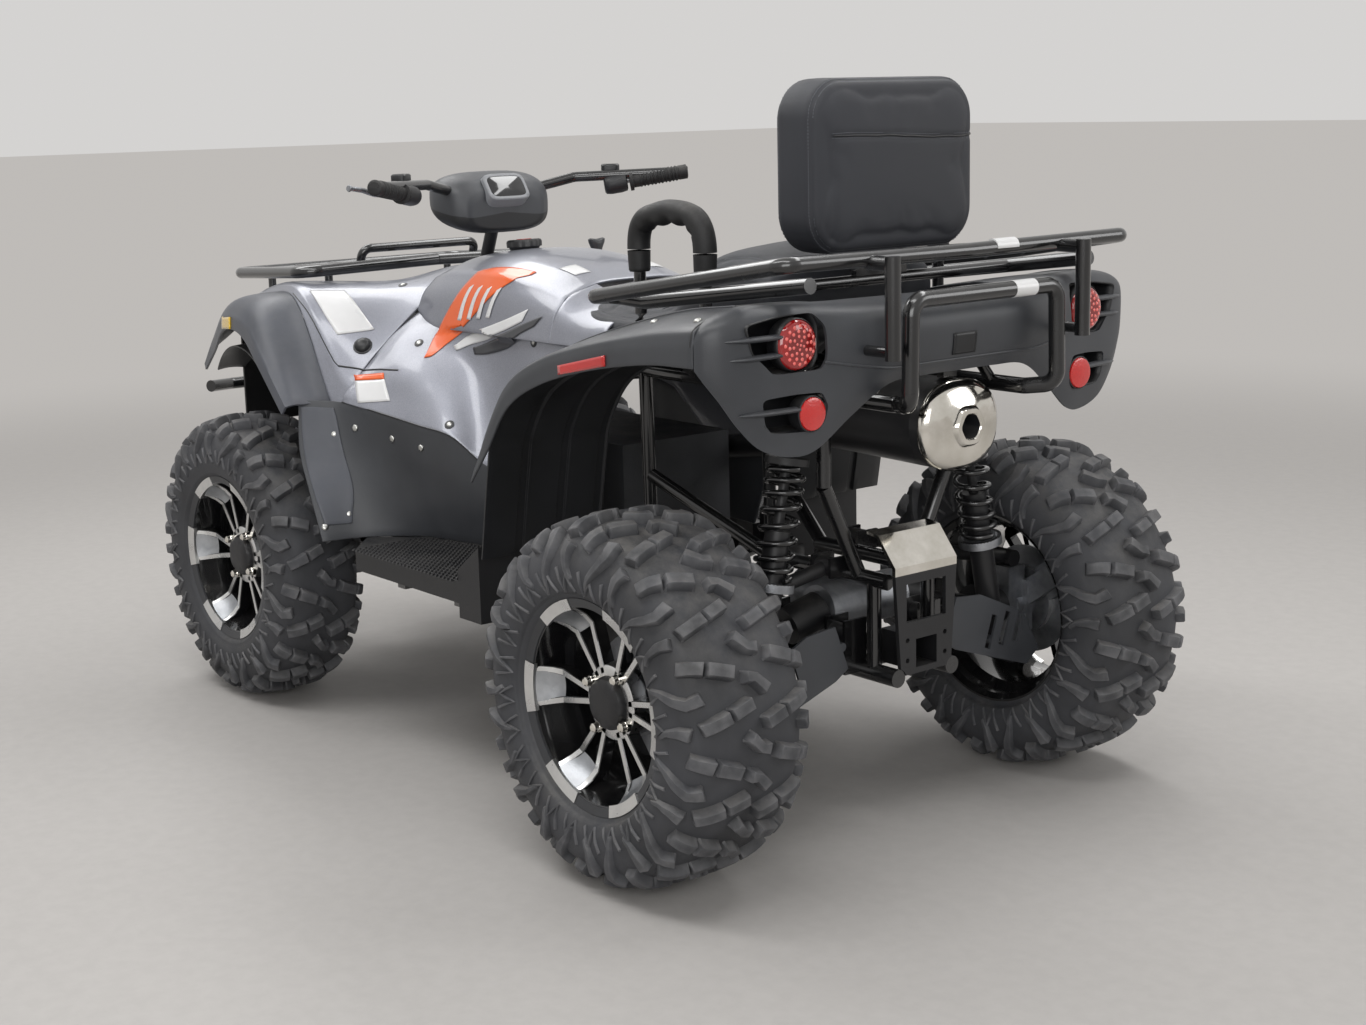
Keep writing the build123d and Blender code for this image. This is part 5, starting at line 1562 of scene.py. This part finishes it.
back_rings = []
for depth, inset in ((0, 0.026), (0.003, 0.010), (0.014, 0.001), (0.050, 0), (0.090, 0.001), (0.101, 0.010),
                     (0.104, 0.024)):
    back_rings.append(rounded_rectangle(inset, BACK_X[0] - depth))
backrest = make_piece("backrest_cushion", loft_parts(back_rings), ["seat_cover"],
                      replaces=["backrest"], merge=1e-5, smooth=180)
stuffed(backrest, 0.006, 0.009, lambda p: np.clip((p[:, 2] - 1.032) / 0.02, 0.15, 1))
rims_of_back = [rounded_rectangle(0.004, x) for x in (-0.826, -0.908)]
ring_front, ring_rear = (dense(np.concatenate([ring, ring[:1]])) for ring in rims_of_back)
zip_y = np.linspace(-0.196, 0.150, 60)
zip_line = np.stack([np.full(60, -0.92), zip_y, 1.226 + 0.004 * np.sin(zip_y * 12)], -1)
flap_line = np.stack([np.full(40, -0.92), np.full(40, 0.150), np.linspace(1.226, 1.06, 40)], -1)
back_seams = [laid_on(backrest, dense(line), 0)[0] for line in (ring_front, ring_rear, zip_line, flap_line)]
pressed(backrest, back_seams, 0.003, 0.0045)
for obj in (seat, backrest):
    add_modifier(obj, "SUBSURF", levels=1, render_levels=1)

stitches = []
for line in seat_seams[:3]:
    stitches += stitch_parts(seat, line) + stitch_parts(seat, line, -0.004)
for line in back_seams[:3]:
    stitches += stitch_parts(backrest, line) + stitch_parts(backrest, line, -0.004)
make_piece("cover_stitching", stitches, ["stitch"], smooth=60)
zip_on, _ = laid_on(backrest, dense(zip_line, 0.004), 0.0006)
zip_grid, zip_faces = along(zip_on, 0.0016, 8)
make_piece("backrest_zip", [part(zip_grid, zip_faces)], ["liner_black"], smooth=60)
print("seat", len(seat.data.polygons), "backrest", len(backrest.data.polygons), "stitches", len(stitches))

# %% [markdown]
# ## Tubes and rounded sections
#
# A tube whose radius changes along its line gives grips, levers and sleeves. A
# superellipse is between an oval and a box, as a moulded housing is.

# %% Tubes and rounded sections


def tube_parts(points, radius, sides=12, finish=0):
    """A tube closed to a point at both ends; radius is one number or one for each point."""
    p = np.asarray(points, float)
    r = np.broadcast_to(np.asarray(radius, float), len(p))
    tip, end = unit(p[0] - p[1]) * 2e-5, unit(p[-1] - p[-2]) * 2e-5
    p = np.concatenate([[p[0] + tip], p, [p[-1] + end]])
    r = np.concatenate([[1e-7], r, [1e-7]])
    grid, faces = along(p, r, sides)
    return [part(grid, faces, finish)]


def between(start, stop, shares):
    """Points at the given shares of the way from start to stop."""
    start, stop = np.asarray(start, float), np.asarray(stop, float)
    return start + (stop - start) * np.asarray(shares, float)[:, None]


def superellipse(x, half, low, high, power=3.2, count=48):
    """A rounded box's section at x: |y/half|^power + |z/height|^power = 1."""
    a = np.linspace(0, 2 * pi, count, endpoint=False)
    c, s = np.cos(a), np.sin(a)
    y = half * np.sign(c) * np.abs(c) ** (2 / power)
    z = (low + high) / 2 + (high - low) / 2 * np.sign(s) * np.abs(s) ** (2 / power)
    return np.stack([np.full(count, x), y, z], -1)


print("a section has", len(superellipse(0, 1, -1, 1)), "points")

# %% [markdown]
# ## Grips and levers
#
# The handlebar's pieces ride on the steering body. Each is placed by its distance along
# the bar from the grip's outer end, and ahead of the bar.

# %% Grips and levers
BAR_END, BAR_BEND = np.array([0.139, 0.398, 1.138]), np.array([0.280, 0.190, 1.102])
bar_way = unit(BAR_BEND - BAR_END)
bar_ahead = unit(np.cross((0, 0, 1), bar_way))

# ribs every 8 mm in the middle, a domed outer end, a flange at the inner one
run = np.linspace(0, 0.130, 131)
grip_r = 0.0158 + 0.0009 * np.sign(np.sin(run * 2 * pi / 0.008)) * (np.abs(run - 0.064) < 0.044)
dome = run < 0.004
grip_r[dome] = np.sqrt(np.clip(1 - ((0.004 - run[dome]) / 0.005) ** 2, 0.05, 1)) * 0.0165
grip_r[run > 0.122] = 0.0215
grips = tube_parts(BAR_END + bar_way * run[:, None], grip_r, 28)
make_piece("rubber_grips", pair(grips), ["boot_rubber"], "steering", ["grips"], smooth=40,
           merge=1e-6)

perch = BAR_END + bar_way * 0.160
controls = tube_parts(BAR_END + bar_way * np.array([0.136, 0.138, 0.150, 0.172, 0.184, 0.187])[:, None],
                      [0.016, 0.0195, 0.0215, 0.0215, 0.0195, 0.016], 20)
controls += tube_parts([perch + bar_ahead * d + np.array([0, 0, 0.006]) for d in (0.0, 0.018, 0.034, 0.044)],
                       [0.012, 0.011, 0.010, 0.007], 14)
lever_line = spline(6, 8) @ np.array([
    perch + bar_ahead * 0.036 + (0, 0, 0.006), perch + bar_ahead * 0.058 - bar_way * 0.026,
    perch + bar_ahead * 0.056 - bar_way * 0.070, perch + bar_ahead * 0.050 - bar_way * 0.110,
    perch + bar_ahead * 0.056 - bar_way * 0.140, perch + bar_ahead * 0.060 - bar_way * 0.152])
lever_r = np.interp(np.linspace(0, 1, len(lever_line)), [0, 0.2, 0.85, 0.95, 1],
                    [0.0075, 0.0062, 0.0048, 0.0072, 0.006])
levers = tube_parts(lever_line, lever_r, 12, 1)
reservoir = []
for z, half_w, half_l in ((1.134, 0.018, 0.014), (1.137, 0.0205, 0.017), (1.155, 0.0205, 0.017),
                          (1.158, 0.018, 0.014)):
    ring = superellipse(0, half_w, -half_l, half_l, 4, 24)
    centre = perch + bar_ahead * 0.020 + bar_way * 0.012
    flat = centre + ring[:, 1:2] * bar_way + ring[:, 2:] * bar_ahead
    flat[:, 2] = z
    reservoir.append(flat)
controls += loft_parts(reservoir)
make_piece("bar_switches", pair(controls), ["liner_black"], "steering", smooth=45, merge=1e-6)
make_piece("brake_levers", pair(levers), ["liner_black", "cast_metal"], "steering", smooth=60,
           merge=1e-6)
print("a grip is", round(run[-1] / MM), "mm long")

# %% [markdown]
# ## Instrument pod
#
# The pod is a loft of rounded boxes whose upper shell is lighter than its lower one.
# The display is a stack of rounded plates that face the rider.

# %% Instrument pod
POD_ROWS = [(266, 70, 1040, 1092), (267, 92, 1030, 1108), (274, 106, 1026, 1122), (290, 124, 1022, 1138),
            (320, 134, 1026, 1149), (350, 134, 1034, 1152), (378, 124, 1048, 1147), (394, 108, 1062, 1138),
            (400, 86, 1074, 1126)]
pod_rings = [superellipse(x * MM, half * MM, low * MM, high * MM) for x, half, low, high in POD_ROWS]
pod_grid = np.einsum("ai,ijk->ajk", spline(len(pod_rings), 5), np.stack(pod_rings))
(pod_points, pod_faces, _), = loft_parts(list(pod_grid))
column = np.arange(len(pod_faces)) % 48
upper = (column < 25) | (column > 46)
pod = [(pod_points, pod_faces[upper], 0), (pod_points, pod_faces[~upper], 1)]
make_piece("instrument_shell", pod, ["dark_plastic", "liner_black"], "steering",
           ["instrument_pod"], smooth=40, merge=1e-6)

SCREEN_AT, SCREEN_OUT = np.array([0.2700, 0.0, 1.1170]), np.array([-0.82, 0.0, 0.572])
SCREEN_RIGHT, SCREEN_UP = np.array([0, 1, 0]), np.array([0.572, 0.0, 0.82])


def plate_rings(rows):
    """Rounded plates stacked along the screen's normal: rows of half width, half height and lift."""
    rings = []
    for half_w, half_h, lift in rows:
        flat = superellipse(0, half_w, -half_h, half_h, 5)
        rings.append(SCREEN_AT + flat[:, 1:2] * SCREEN_RIGHT + flat[:, 2:] * SCREEN_UP + lift * SCREEN_OUT)
    return rings


bezel = loft_parts(plate_rings([(0.054, 0.035, -0.022), (0.052, 0.033, 0.006), (0.050, 0.031, 0.008),
                                (0.045, 0.026, 0.008), (0.044, 0.025, 0.0065)]))
glass = loft_parts(plate_rings([(0.0445, 0.0255, 0.004), (0.0445, 0.0255, 0.0068), (0.043, 0.024, 0.0075)]), 1)
make_piece("display", bezel + glass, ["pale_plastic", "screen_glass"], "steering",
           smooth=40, merge=1e-6)
print("pod", len(pod_faces), "faces")

# %% [markdown]
# ## Grab handles
#
# The passenger's handles are bent tube with a thick rubber sleeve, waved underneath
# for the fingers.

# %% Grab handles
HANDLE_LINE = np.array([
    (-561, 280, 901), (-561, 280, 1000), (-562, 280, 1060), (-578, 280, 1089), (-610, 280, 1100),
    (-651, 280, 1107), (-700, 280, 1103), (-728, 280, 1089), (-742, 280, 1056), (-742, 280, 1000),
    (-742, 280, 941)]) * MM
handle_line = spline(len(HANDLE_LINE), 8) @ HANDLE_LINE
steel = tube_parts(handle_line, 0.011, 16, 1)
sleeve_line = dense(handle_line, 0.003)
sleeve_line = sleeve_line[sleeve_line[:, 2] > 0.998]
share = np.linspace(0, 1, len(sleeve_line))
sleeve_r = 0.0192 + 0.0014 * np.clip(np.sin(share * pi) * 3, 0, 1)
sleeve_r[[0, -1]] = 0.0175
(points, faces, _), = tube_parts(sleeve_line, sleeve_r, 24)
rings = points.reshape(-1, 24, 3)
centre = rings.mean(1, keepdims=True)
wave = 0.11 * np.cos(np.arange(len(rings)) / len(rings) * 2 * pi * 7)[:, None]
below = (rings - centre) @ np.array([0.25, 0, -1.0]) > 0.006
rings = rings + (rings - centre) * (wave * below)[..., None]
make_piece("handle_sleeves", pair(steel + [part(rings, faces)]), ["boot_rubber", "black_tube"],
           replaces=["grab_handles"], smooth=50, merge=1e-6)
print("a sleeve has", len(faces), "faces")

# %% [markdown]
# ## Fuel cap and gear lever
#
# The filler cap has six lobes to turn it by. The gear lever has a bellows at its foot.

# %% Fuel cap and gear lever
CAP_AT, CAP_AXIS = np.array([0.205, 0, 0.9875]), np.array([1.5, 0, 20.0]) / np.hypot(1.5, 20.0)
cap_side = np.array([CAP_AXIS[2], 0, -CAP_AXIS[0]])
a = np.linspace(0, 2 * pi, 72, endpoint=False)
lobes = 1 - 0.085 * (0.5 - 0.5 * np.cos(6 * a)) ** 2
cap_rings = []
around_cap = cap_side * np.cos(a)[:, None] + np.array([0, 1, 0]) * np.sin(a)[:, None]
for lift, r, lobed in ((0.0, 0.030, 0), (0.006, 0.033, 0), (0.007, 0.0375, 1), (0.017, 0.038, 1),
                       (0.021, 0.036, 1), (0.0225, 0.032, 0.6), (0.0225, 0.020, 0)):
    radius = r * (1 + (lobes - 1) * lobed)
    cap_rings.append(CAP_AT + CAP_AXIS * lift + around_cap * radius[:, None])
red_top = [CAP_AT + CAP_AXIS * lift + around_cap * r
           for lift, r in ((0.021, 0.0165), (0.0232, 0.0165), (0.0236, 0.0155))]
make_piece("filler_cap", loft_parts(cap_rings) + loft_parts(red_top, 1), ["liner_black", "red_reflector"],
           replaces=["fuel_cap"], smooth=40, merge=1e-6)

stem = spline(4, 6) @ np.array([(262, -238, 832), (259, -233, 880), (254, -226, 930), (250, -223, 962)]) * MM
gear = tube_parts(stem, 0.0055, 14, 1)
boot = tube_parts(stem[:8], [0.019, 0.0165, 0.018, 0.0135, 0.015, 0.0105, 0.011, 0.0075], 20, 1)
head = loft_parts([np.stack([0.250 + 0.012 * w * np.cos(a), -0.2235 + (0.010 + 0.014 * k) * w * np.sin(a),
                             np.full(72, 0.956 + 0.038 * k) + 0.006 * k * np.abs(np.sin(a))], -1)
                   for k, w in ((0, 0.45), (0.12, 0.8), (0.45, 0.86), (0.75, 1.0), (0.9, 0.96), (0.95, 0.75))])
make_piece("gear_selector", gear + boot + head, ["rim_grey", "boot_rubber"],
           replaces=["gear_lever"], smooth=50, merge=1e-6)
print("the gear lever stands", round((stem[-1] - stem[0])[2] / MM), "mm high")

# %% [markdown]
# ## Springs
#
# A coil spring is one wire along a helix whose pitch flattens at both ends.

# %% Springs
# top and foot of a shock, radius of its spring and of the wire, in mm, and the turns
SHOCKS = [((-872, 212, 716), (-872, 285, 346), 36, 5.5, 8), ((770, 168, 742), (770, 262, 262), 33, 5, 9)]


def spring_parts(top, foot, radius, wire, turns):
    """Angle grows evenly along the wire; height eases in and out so that the end turns lie flat."""
    top, foot = np.asarray(top) * MM, np.asarray(foot) * MM
    length = np.linalg.norm(top - foot)
    way = unit(top - foot)
    first = unit(np.cross(way, (0, 1, 0.2)))
    second = np.cross(way, first)
    t = np.linspace(0, 1, turns * 28 + 1)
    low, high = 0.36 * length + 0.010 + wire * MM, length - 0.030 - wire * MM
    height = low + (high - low) * (t - 0.045 * np.sin(2 * pi * t))
    a = 2 * pi * turns * t
    round_way = first * np.cos(a)[:, None] + second * np.sin(a)[:, None]
    return tube_parts(foot + way * height[:, None] + (radius - wire) * MM * round_way, wire * MM, 10)


springs = []
for row in SHOCKS:
    springs += spring_parts(*row)
make_piece("coil_springs", pair(springs), ["black_tube"], replaces=["shock_springs"],
           smooth=60, merge=1e-6)
collars = []
for top_at, foot_at, radius, wire, turns in SHOCKS:
    start, stop = np.asarray(foot_at) * MM, np.asarray(top_at) * MM
    long = np.linalg.norm(stop - start)
    shares = (np.array([-0.006, -0.005, 0.004, 0.0095, 0.010]) + 0.36 * long) / long
    collars += tube_parts(between(start, stop, shares), (radius + np.array([1, 4.6, 4.6, 4, -2])) * MM, 36)
make_piece("spring_collars", pair(collars), ["cast_metal"], smooth=40, merge=1e-6)
print("turns of the springs:", [row[-1] for row in SHOCKS])

# %% [markdown]
# ## Silencer end
#
# The silencer's bright end is an oval dome that turns into a round boss, so each ring is
# a mix of an oval and a circle.

# %% Silencer end
SILENCER_Y, SILENCER_Z = -0.036, 0.741
a = np.linspace(0, 2 * pi, 96, endpoint=False)


def oval(x, half_y, half_z, round_r=None, mix=0.0, power=2.3):
    """An oval ring at x that blends towards a circle of radius round_r."""
    y = half_y * np.sign(np.cos(a)) * np.abs(np.cos(a)) ** (2 / power)
    z = half_z * np.sign(np.sin(a)) * np.abs(np.sin(a)) ** (2 / power)
    if round_r:
        hexed = round_r * (1 + 0.03 * np.cos(6 * a))
        y, z = y * (1 - mix) + hexed * np.cos(a) * mix, z * (1 - mix) + hexed * np.sin(a) * mix
    return np.stack([np.full(96, x), SILENCER_Y + y, SILENCER_Z + z], -1)


# x, half width and half height of the oval, radius of the circle, the circle's share
DOME = [(-1.0205, 0.088, 0.075), (-1.0205, 0.092, 0.0785), (-1.026, 0.0925, 0.079), (-1.034, 0.089, 0.0755),
        (-1.042, 0.078, 0.066), (-1.047, 0.062, 0.053, 0.040, 0.35), (-1.0495, 0.050, 0.045, 0.038, 0.8),
        (-1.0505, 0.037, 0.037, 0.0365, 1), (-1.0560, 0.034, 0.034, 0.0335, 1),
        (-1.0585, 0.032, 0.032, 0.031, 1), (-1.0590, 0.024, 0.024, 0.0235, 1),
        (-1.0570, 0.021, 0.021, 0.0212, 1)]
OUTLET = [(-1.0572, 0.021, 0.021, 0.0211, 1), (-1.035, 0.0205, 0.0205, 0.0206, 1),
          (-1.024, 0.020, 0.020, 0.0202, 1)]
shell = np.stack([oval(*row) for row in DOME])
outlet = [oval(*row) for row in OUTLET]
inside = np.stack(outlet + [np.broadcast_to(outlet[-1].mean(0), outlet[-1].shape)])
silencer = [facing(shell, (-1, 0, 0), around=True), facing(inside, (-1, 0, 0), 1, around=True)]
make_piece("silencer_end", silencer, ["bright_chrome", "liner_black"],
           replaces=["muffler_cap"], smooth=40)
print("silencer end:", len(DOME) + len(OUTLET), "rings")

# %% [markdown]
# ## Films, labels and reflectors
#
# A decal is a thin sheet that lies on a curved panel. It is ruled between two smooth
# edges, its points are dropped onto the nearest skin, and then it gets its thickness.

# %% Films on the skins


def skin_tree(objects):
    """One search tree over the outer skins of several pieces, as they are before their thickness."""
    points, polygons, start = [], [], 0
    for obj in objects:
        points += [v.co.copy() for v in obj.data.vertices]
        polygons += [[i + start for i in p.vertices] for p in obj.data.polygons]
        start = len(points)
    return BVHTree.FromPolygons(points, polygons)


def film_part(tree, edge_a, edge_b, lift=0.0009, steps=(28, 8), finish=0):
    """A sheet ruled between two edges given in millimetres and laid on the tree's surface."""
    edges = []
    for edge in (edge_a, edge_b):
        edge = np.asarray(edge, float) * MM
        edges.append(sampled(spline(len(edge), 12) @ edge, steps[0]))
    t = np.linspace(0, 1, steps[1])[None, :, None]
    flat = edges[0][:, None] * (1 - t) + edges[1][:, None] * t
    laid, normals = [], []
    for p in flat.reshape(-1, 3):
        near = tree.find_nearest(Vector(p))
        laid.append(near[0] + near[1] * lift)
        normals.append(near[1])
    return facing(np.asarray(laid).reshape(flat.shape), np.asarray(normals).mean(0), finish)


def films(name, parts, finishes, thickness=0.0005):
    """Films on both sides of the machine, as one piece with its thickness outwards."""
    obj = make_piece(name, pair(parts), finishes, smooth=50)
    add_modifier(obj, "SOLIDIFY", thickness=thickness, offset=1.0)
    return obj


body_tree = skin_tree([tank, side_panels, fairing])
fairing_tree = skin_tree([fairing, side_panels])
flare_tree, fender_tree = skin_tree([flares]), skin_tree([fenders])
well_tree, panel_tree = skin_tree([footwells]), skin_tree([rear_panel])
print("skins to lay films on: 6")

# %% [markdown]
# ## Side graphic
#
# The graphic is a generic one: an orange sweep up over the tank cover, four pale bars in
# it, and a white and a dark stripe, each lifted a little more.

# %% Side graphic
swoosh = film_part(body_tree, [(196, 268, 782), (213, 222, 833), (176, 204, 896), (139, 171, 950),
                               (100, 154, 965), (31, 144, 968), (-40, 140, 962)],
                   [(184, 258, 786), (172, 226, 806), (146, 212, 830), (104, 208, 862), (66, 204, 893),
                    (16, 182, 932), (-36, 150, 958)], steps=(40, 14))
bars = []
for x in (118, 84, 50, 16):
    bars.append(film_part(body_tree, [(x + 30, 205, 858 + 0.12 * (118 - x)), (x + 14, 196, 930)],
                          [(x + 16, 206, 858 + 0.12 * (118 - x)), (x + 2, 192, 936)], 0.0016, (16, 4), 1))
pale = film_part(body_tree,
                 [(150, 222, 806), (112, 208, 832), (40, 210, 852), (-30, 210, 874), (-96, 200, 896)],
                 [(140, 222, 796), (104, 209, 812), (44, 210, 828), (-20, 211, 848), (-84, 208, 872)],
                 0.0012, (28, 6), 1)
deep = film_part(body_tree,
                 [(96, 209, 806), (40, 210, 824), (-24, 212, 844), (-92, 208, 868), (-150, 204, 886)],
                 [(88, 210, 792), (36, 211, 800), (-30, 213, 818), (-84, 212, 848), (-128, 210, 866)],
                 0.0016, (28, 6), 2)
films("side_graphic", [swoosh, *bars, pale, deep], ["orange_film", "white_film", "dark_film"])
print("films in the side graphic:", 3 + len(bars))

# %% [markdown]
# ## Blank labels and reflectors
#
# The labels are blank. The reflectors are made the same way, only thicker.

# %% Blank labels and reflectors
label = film_part(fairing_tree, [(530, 344, 908), (470, 350, 870), (408, 350, 822)],
                  [(494, 278, 906), (430, 283, 872), (364, 284, 830)], steps=(20, 14))
notice = film_part(fairing_tree, [(322, 362, 733), (252, 330, 738)], [(283, 380, 692), (210, 345, 700)],
                   steps=(12, 10))
band = film_part(fairing_tree, [(336, 357, 745), (264, 324, 750)], [(323, 362, 734), (253, 330, 739)],
                 0.0009, (12, 4), 1)
tank_label = film_part(body_tree, [(-78, 112, 968), (-84, 76, 970)], [(-132, 112, 962), (-136, 76, 964)],
                       steps=(8, 8))
films("blank_labels", [label, notice, band, tank_label], ["white_film", "orange_film"], 0.0003)

amber = film_part(flare_tree, [(726, 450, 846), (660, 466, 853)], [(730, 456, 822), (660, 480, 828)],
                  0.0002, (12, 6))
films("side_reflectors_front", [amber], ["yellow_reflector"], 0.003)
crimson = film_part(fender_tree, [(-624, 506, 862), (-756, 506, 890)], [(-624, 506, 846), (-756, 506, 872)],
                    0.0002, (16, 5))
films("side_reflectors_rear", [crimson], ["red_reflector"], 0.003)
print("labels and four reflectors made")

# %% [markdown]
# ## Screws and knob
#
# Small things tell the eye how large the machine is: button-head screws along the dark
# sheets, sunk screws in the silver ones, and a vent knob.

# %% Screws and knob


def screws_on(tree, places, radius=0.0075, height=0.0035, lift=0.0003):
    """Heads on the skin nearest to each place, given in millimetres."""
    hits = [tree.find_nearest(Vector(p) * MM) for p in places]
    return screw_parts([np.array(h[0] + h[1] * lift) for h in hits], [np.array(h[1]) for h in hits],
                       radius, height)


small = screws_on(well_tree, [(324, 418, 627), (289, 387, 640), (194, 355, 624), (109, 339, 613),
                              (262, 428, 467), (271, 480, 446)])
small += screws_on(fender_tree, [(-821, 453, 944), (-952, 466, 950), (-420, 440, 815)], 0.007)
sunk_places = [(426, 172, 913), (238, 253, 809), (-115, 207, 834), (35, 316, 668)]
small += screws_on(body_tree, sunk_places, 0.0052, 0.002, 0.0012)
make_piece("button_screws", pair(small), ["zinc_screw"], smooth=50)
rims = screws_on(body_tree, sunk_places, 0.0105, 0.0012)
knob = screws_on(fairing_tree, [(357, 319, 800)], 0.0175, 0.011)
knob += screws_on(fairing_tree, [(357, 319, 800)], 0.021, 0.003)
make_piece("screw_wells", pair(rims + knob), ["liner_black"], smooth=50)
print("screws on a side:", len(small))

# %% [markdown]
# ## Panel seams and creases
#
# Lips where panels meet and fine creases are thin tubes laid on the skin.

# %% Panel seams and creases


def seam_tube(tree, line, radius=0.0012):
    """A thin bead along a line of millimetres, dropped onto the skin."""
    line = np.asarray(line, float) * MM
    fine = dense(spline(len(line), 10) @ line, 0.006)
    return tube_parts(np.array([tree.find_nearest(Vector(p))[0] for p in fine]), radius, 8)


beads = seam_tube(fairing_tree, [(563, 366, 903), (480, 374, 862), (392, 376, 780), (372, 372, 762)])
beads += seam_tube(fairing_tree, [(372, 372, 762), (300, 338, 762), (232, 310, 758)], 0.002)
beads += seam_tube(fender_tree, [(-975, 214, 966), (-975, 300, 972), (-975, 410, 976), (-975, 490, 950),
                                 (-975, 504, 920)], 0.0016)
beads += seam_tube(well_tree, SEAM[:5], 0.0016)
make_piece("panel_seams", pair(beads), ["liner_black"], smooth=60, merge=1e-6)
ridges = seam_tube(panel_tree, [(-1055, 300, 884), (-1070, 232, 872), (-1078, 163, 863), (-1084, 80, 862),
                                (-1084, 0, 862)], 0.0026)
ridges += seam_tube(fender_tree, [(-400, 416, 798), (-460, 419, 843), (-560, 421, 887), (-700, 421, 927),
                                  (-860, 421, 963), (-974, 411, 976)], 0.0022)
make_piece("crease_lines", pair(ridges), ["dark_plastic"], smooth=60, merge=1e-6)
print("beads:", len(beads), "ridges:", len(ridges))

# %% [markdown]
# ## Raised fields
#
# The footwell's raised field and the rear panel's hatch are thicker films.

# %% Raised fields
field = film_part(well_tree, [(362, 472, 688), (344, 480, 600), (306, 484, 520), (266, 482, 452)],
                  [(326, 414, 682), (302, 412, 600), (264, 414, 520), (248, 428, 450)], 0.0, (28, 10))
field_obj = films("mudguard_fields", [field], ["flare_plastic"], 0.0032)
soften(field_obj, 0.0015)
hatch = film_part(panel_tree, [(-1086, 38, 908), (-1086, -16, 908)], [(-1084, 38, 872), (-1084, -16, 872)],
                  0.0, (8, 8))
hatch_obj = make_piece("rear_hatch", [hatch], ["liner_black"], smooth=50)
add_modifier(hatch_obj, "SOLIDIFY", thickness=0.002, offset=1.0)
rail_films = []
for x, z, radius in ((-1.080, 1.0430, 0.01335), (-1.123, 0.975, 0.01435)):
    rail_films += tube_parts(between((x, -0.060, z), (x, -0.112, z), [0, 0.02, 0.98, 1]), radius, 24)
make_piece("rail_labels", rail_films, ["white_film"], smooth=50, merge=1e-6)
print("raised fields, hatch and rail labels made")

# %% [markdown]
# ## Footboards
#
# The rider stands on open pockets with raised teeth. A low pyramid with a flat top is
# eight points; the whole field is that one shape moved to every place of a grid.

# %% Footboard teeth
BOARD_TOP_Z = 0.418
tooth = np.array([(-4, -4, 0), (4, -4, 0), (4, 4, 0), (-4, 4, 0),
                  (-2, -2, 4), (2, -2, 4), (2, 2, 4), (-2, 2, 4)]) * MM
tooth_faces = np.array([(0, 1, 5, 4), (1, 2, 6, 5), (2, 3, 7, 6), (3, 0, 4, 7), (4, 5, 6, 7), (3, 2, 1, 0)])
grid_x, grid_y = np.meshgrid(np.arange(-222, 150, 13.0), np.arange(292, 492, 13.0), indexing="ij")
inner = np.interp(grid_x, [-170, 20, 150, 236], [276, 288, 324, 410])
keep = (grid_y > inner) & (grid_y < 492)
teeth = [part(tooth + np.array([x * MM, y * MM, BOARD_TOP_Z - 0.0005]), tooth_faces)
         for x, y in zip(grid_x[keep], grid_y[keep])]
make_piece("board_teeth", pair(teeth), ["black_satin"], smooth=20)
print("teeth:", 2 * len(teeth))

# %% [markdown]
# ## Finishes of the construction pieces
#
# The rigid pieces that keep their own mesh only need a better material.

# %% Assign materials
FINISHES = {
    "black_tube": ["frame", "rear_rack", "front_rack", "rear_bumper", "front_bumper", "handlebar"],
    "black_satin": ["skid_plate", "rear_arms", "front_arms", "half_shafts", "steering_column", "hitch_bracket",
                    "tie_rod_left", "tie_rod_right", "muffler", "shock_bodies"],
    "black_plastic": ["rear_liners", "footboards", "fuel_cap", "gear_lever", "instrument_pod", "front_fascia"],
    "dark_plastic": ["arm_guards", "front_flares", "footwells", "rear_fenders", "rear_fascia"],
    "engine_dark": ["engine_block"],
    "cast_metal": ["gearcases", "rear_knuckles", "front_knuckle_left", "front_knuckle_right"],
    "bright_chrome": ["muffler_cap", "hitch_cover"],
    "silver_paint": ["front_fairing", "side_panels", "tank_cover"],
    "seat_cover": ["seat", "backrest"],
    "boot_rubber": ["grips", "grab_handles", "shock_springs"],
    "lamp_glass": ["headlamps"],
}
for finish, names in FINISHES.items():
    for name in names:
        mesh = NODES[name].data
        mesh.materials.clear()
        mesh.materials.append(MATERIALS[finish])
print("construction pieces finished:", sum(len(names) for names in FINISHES.values()))
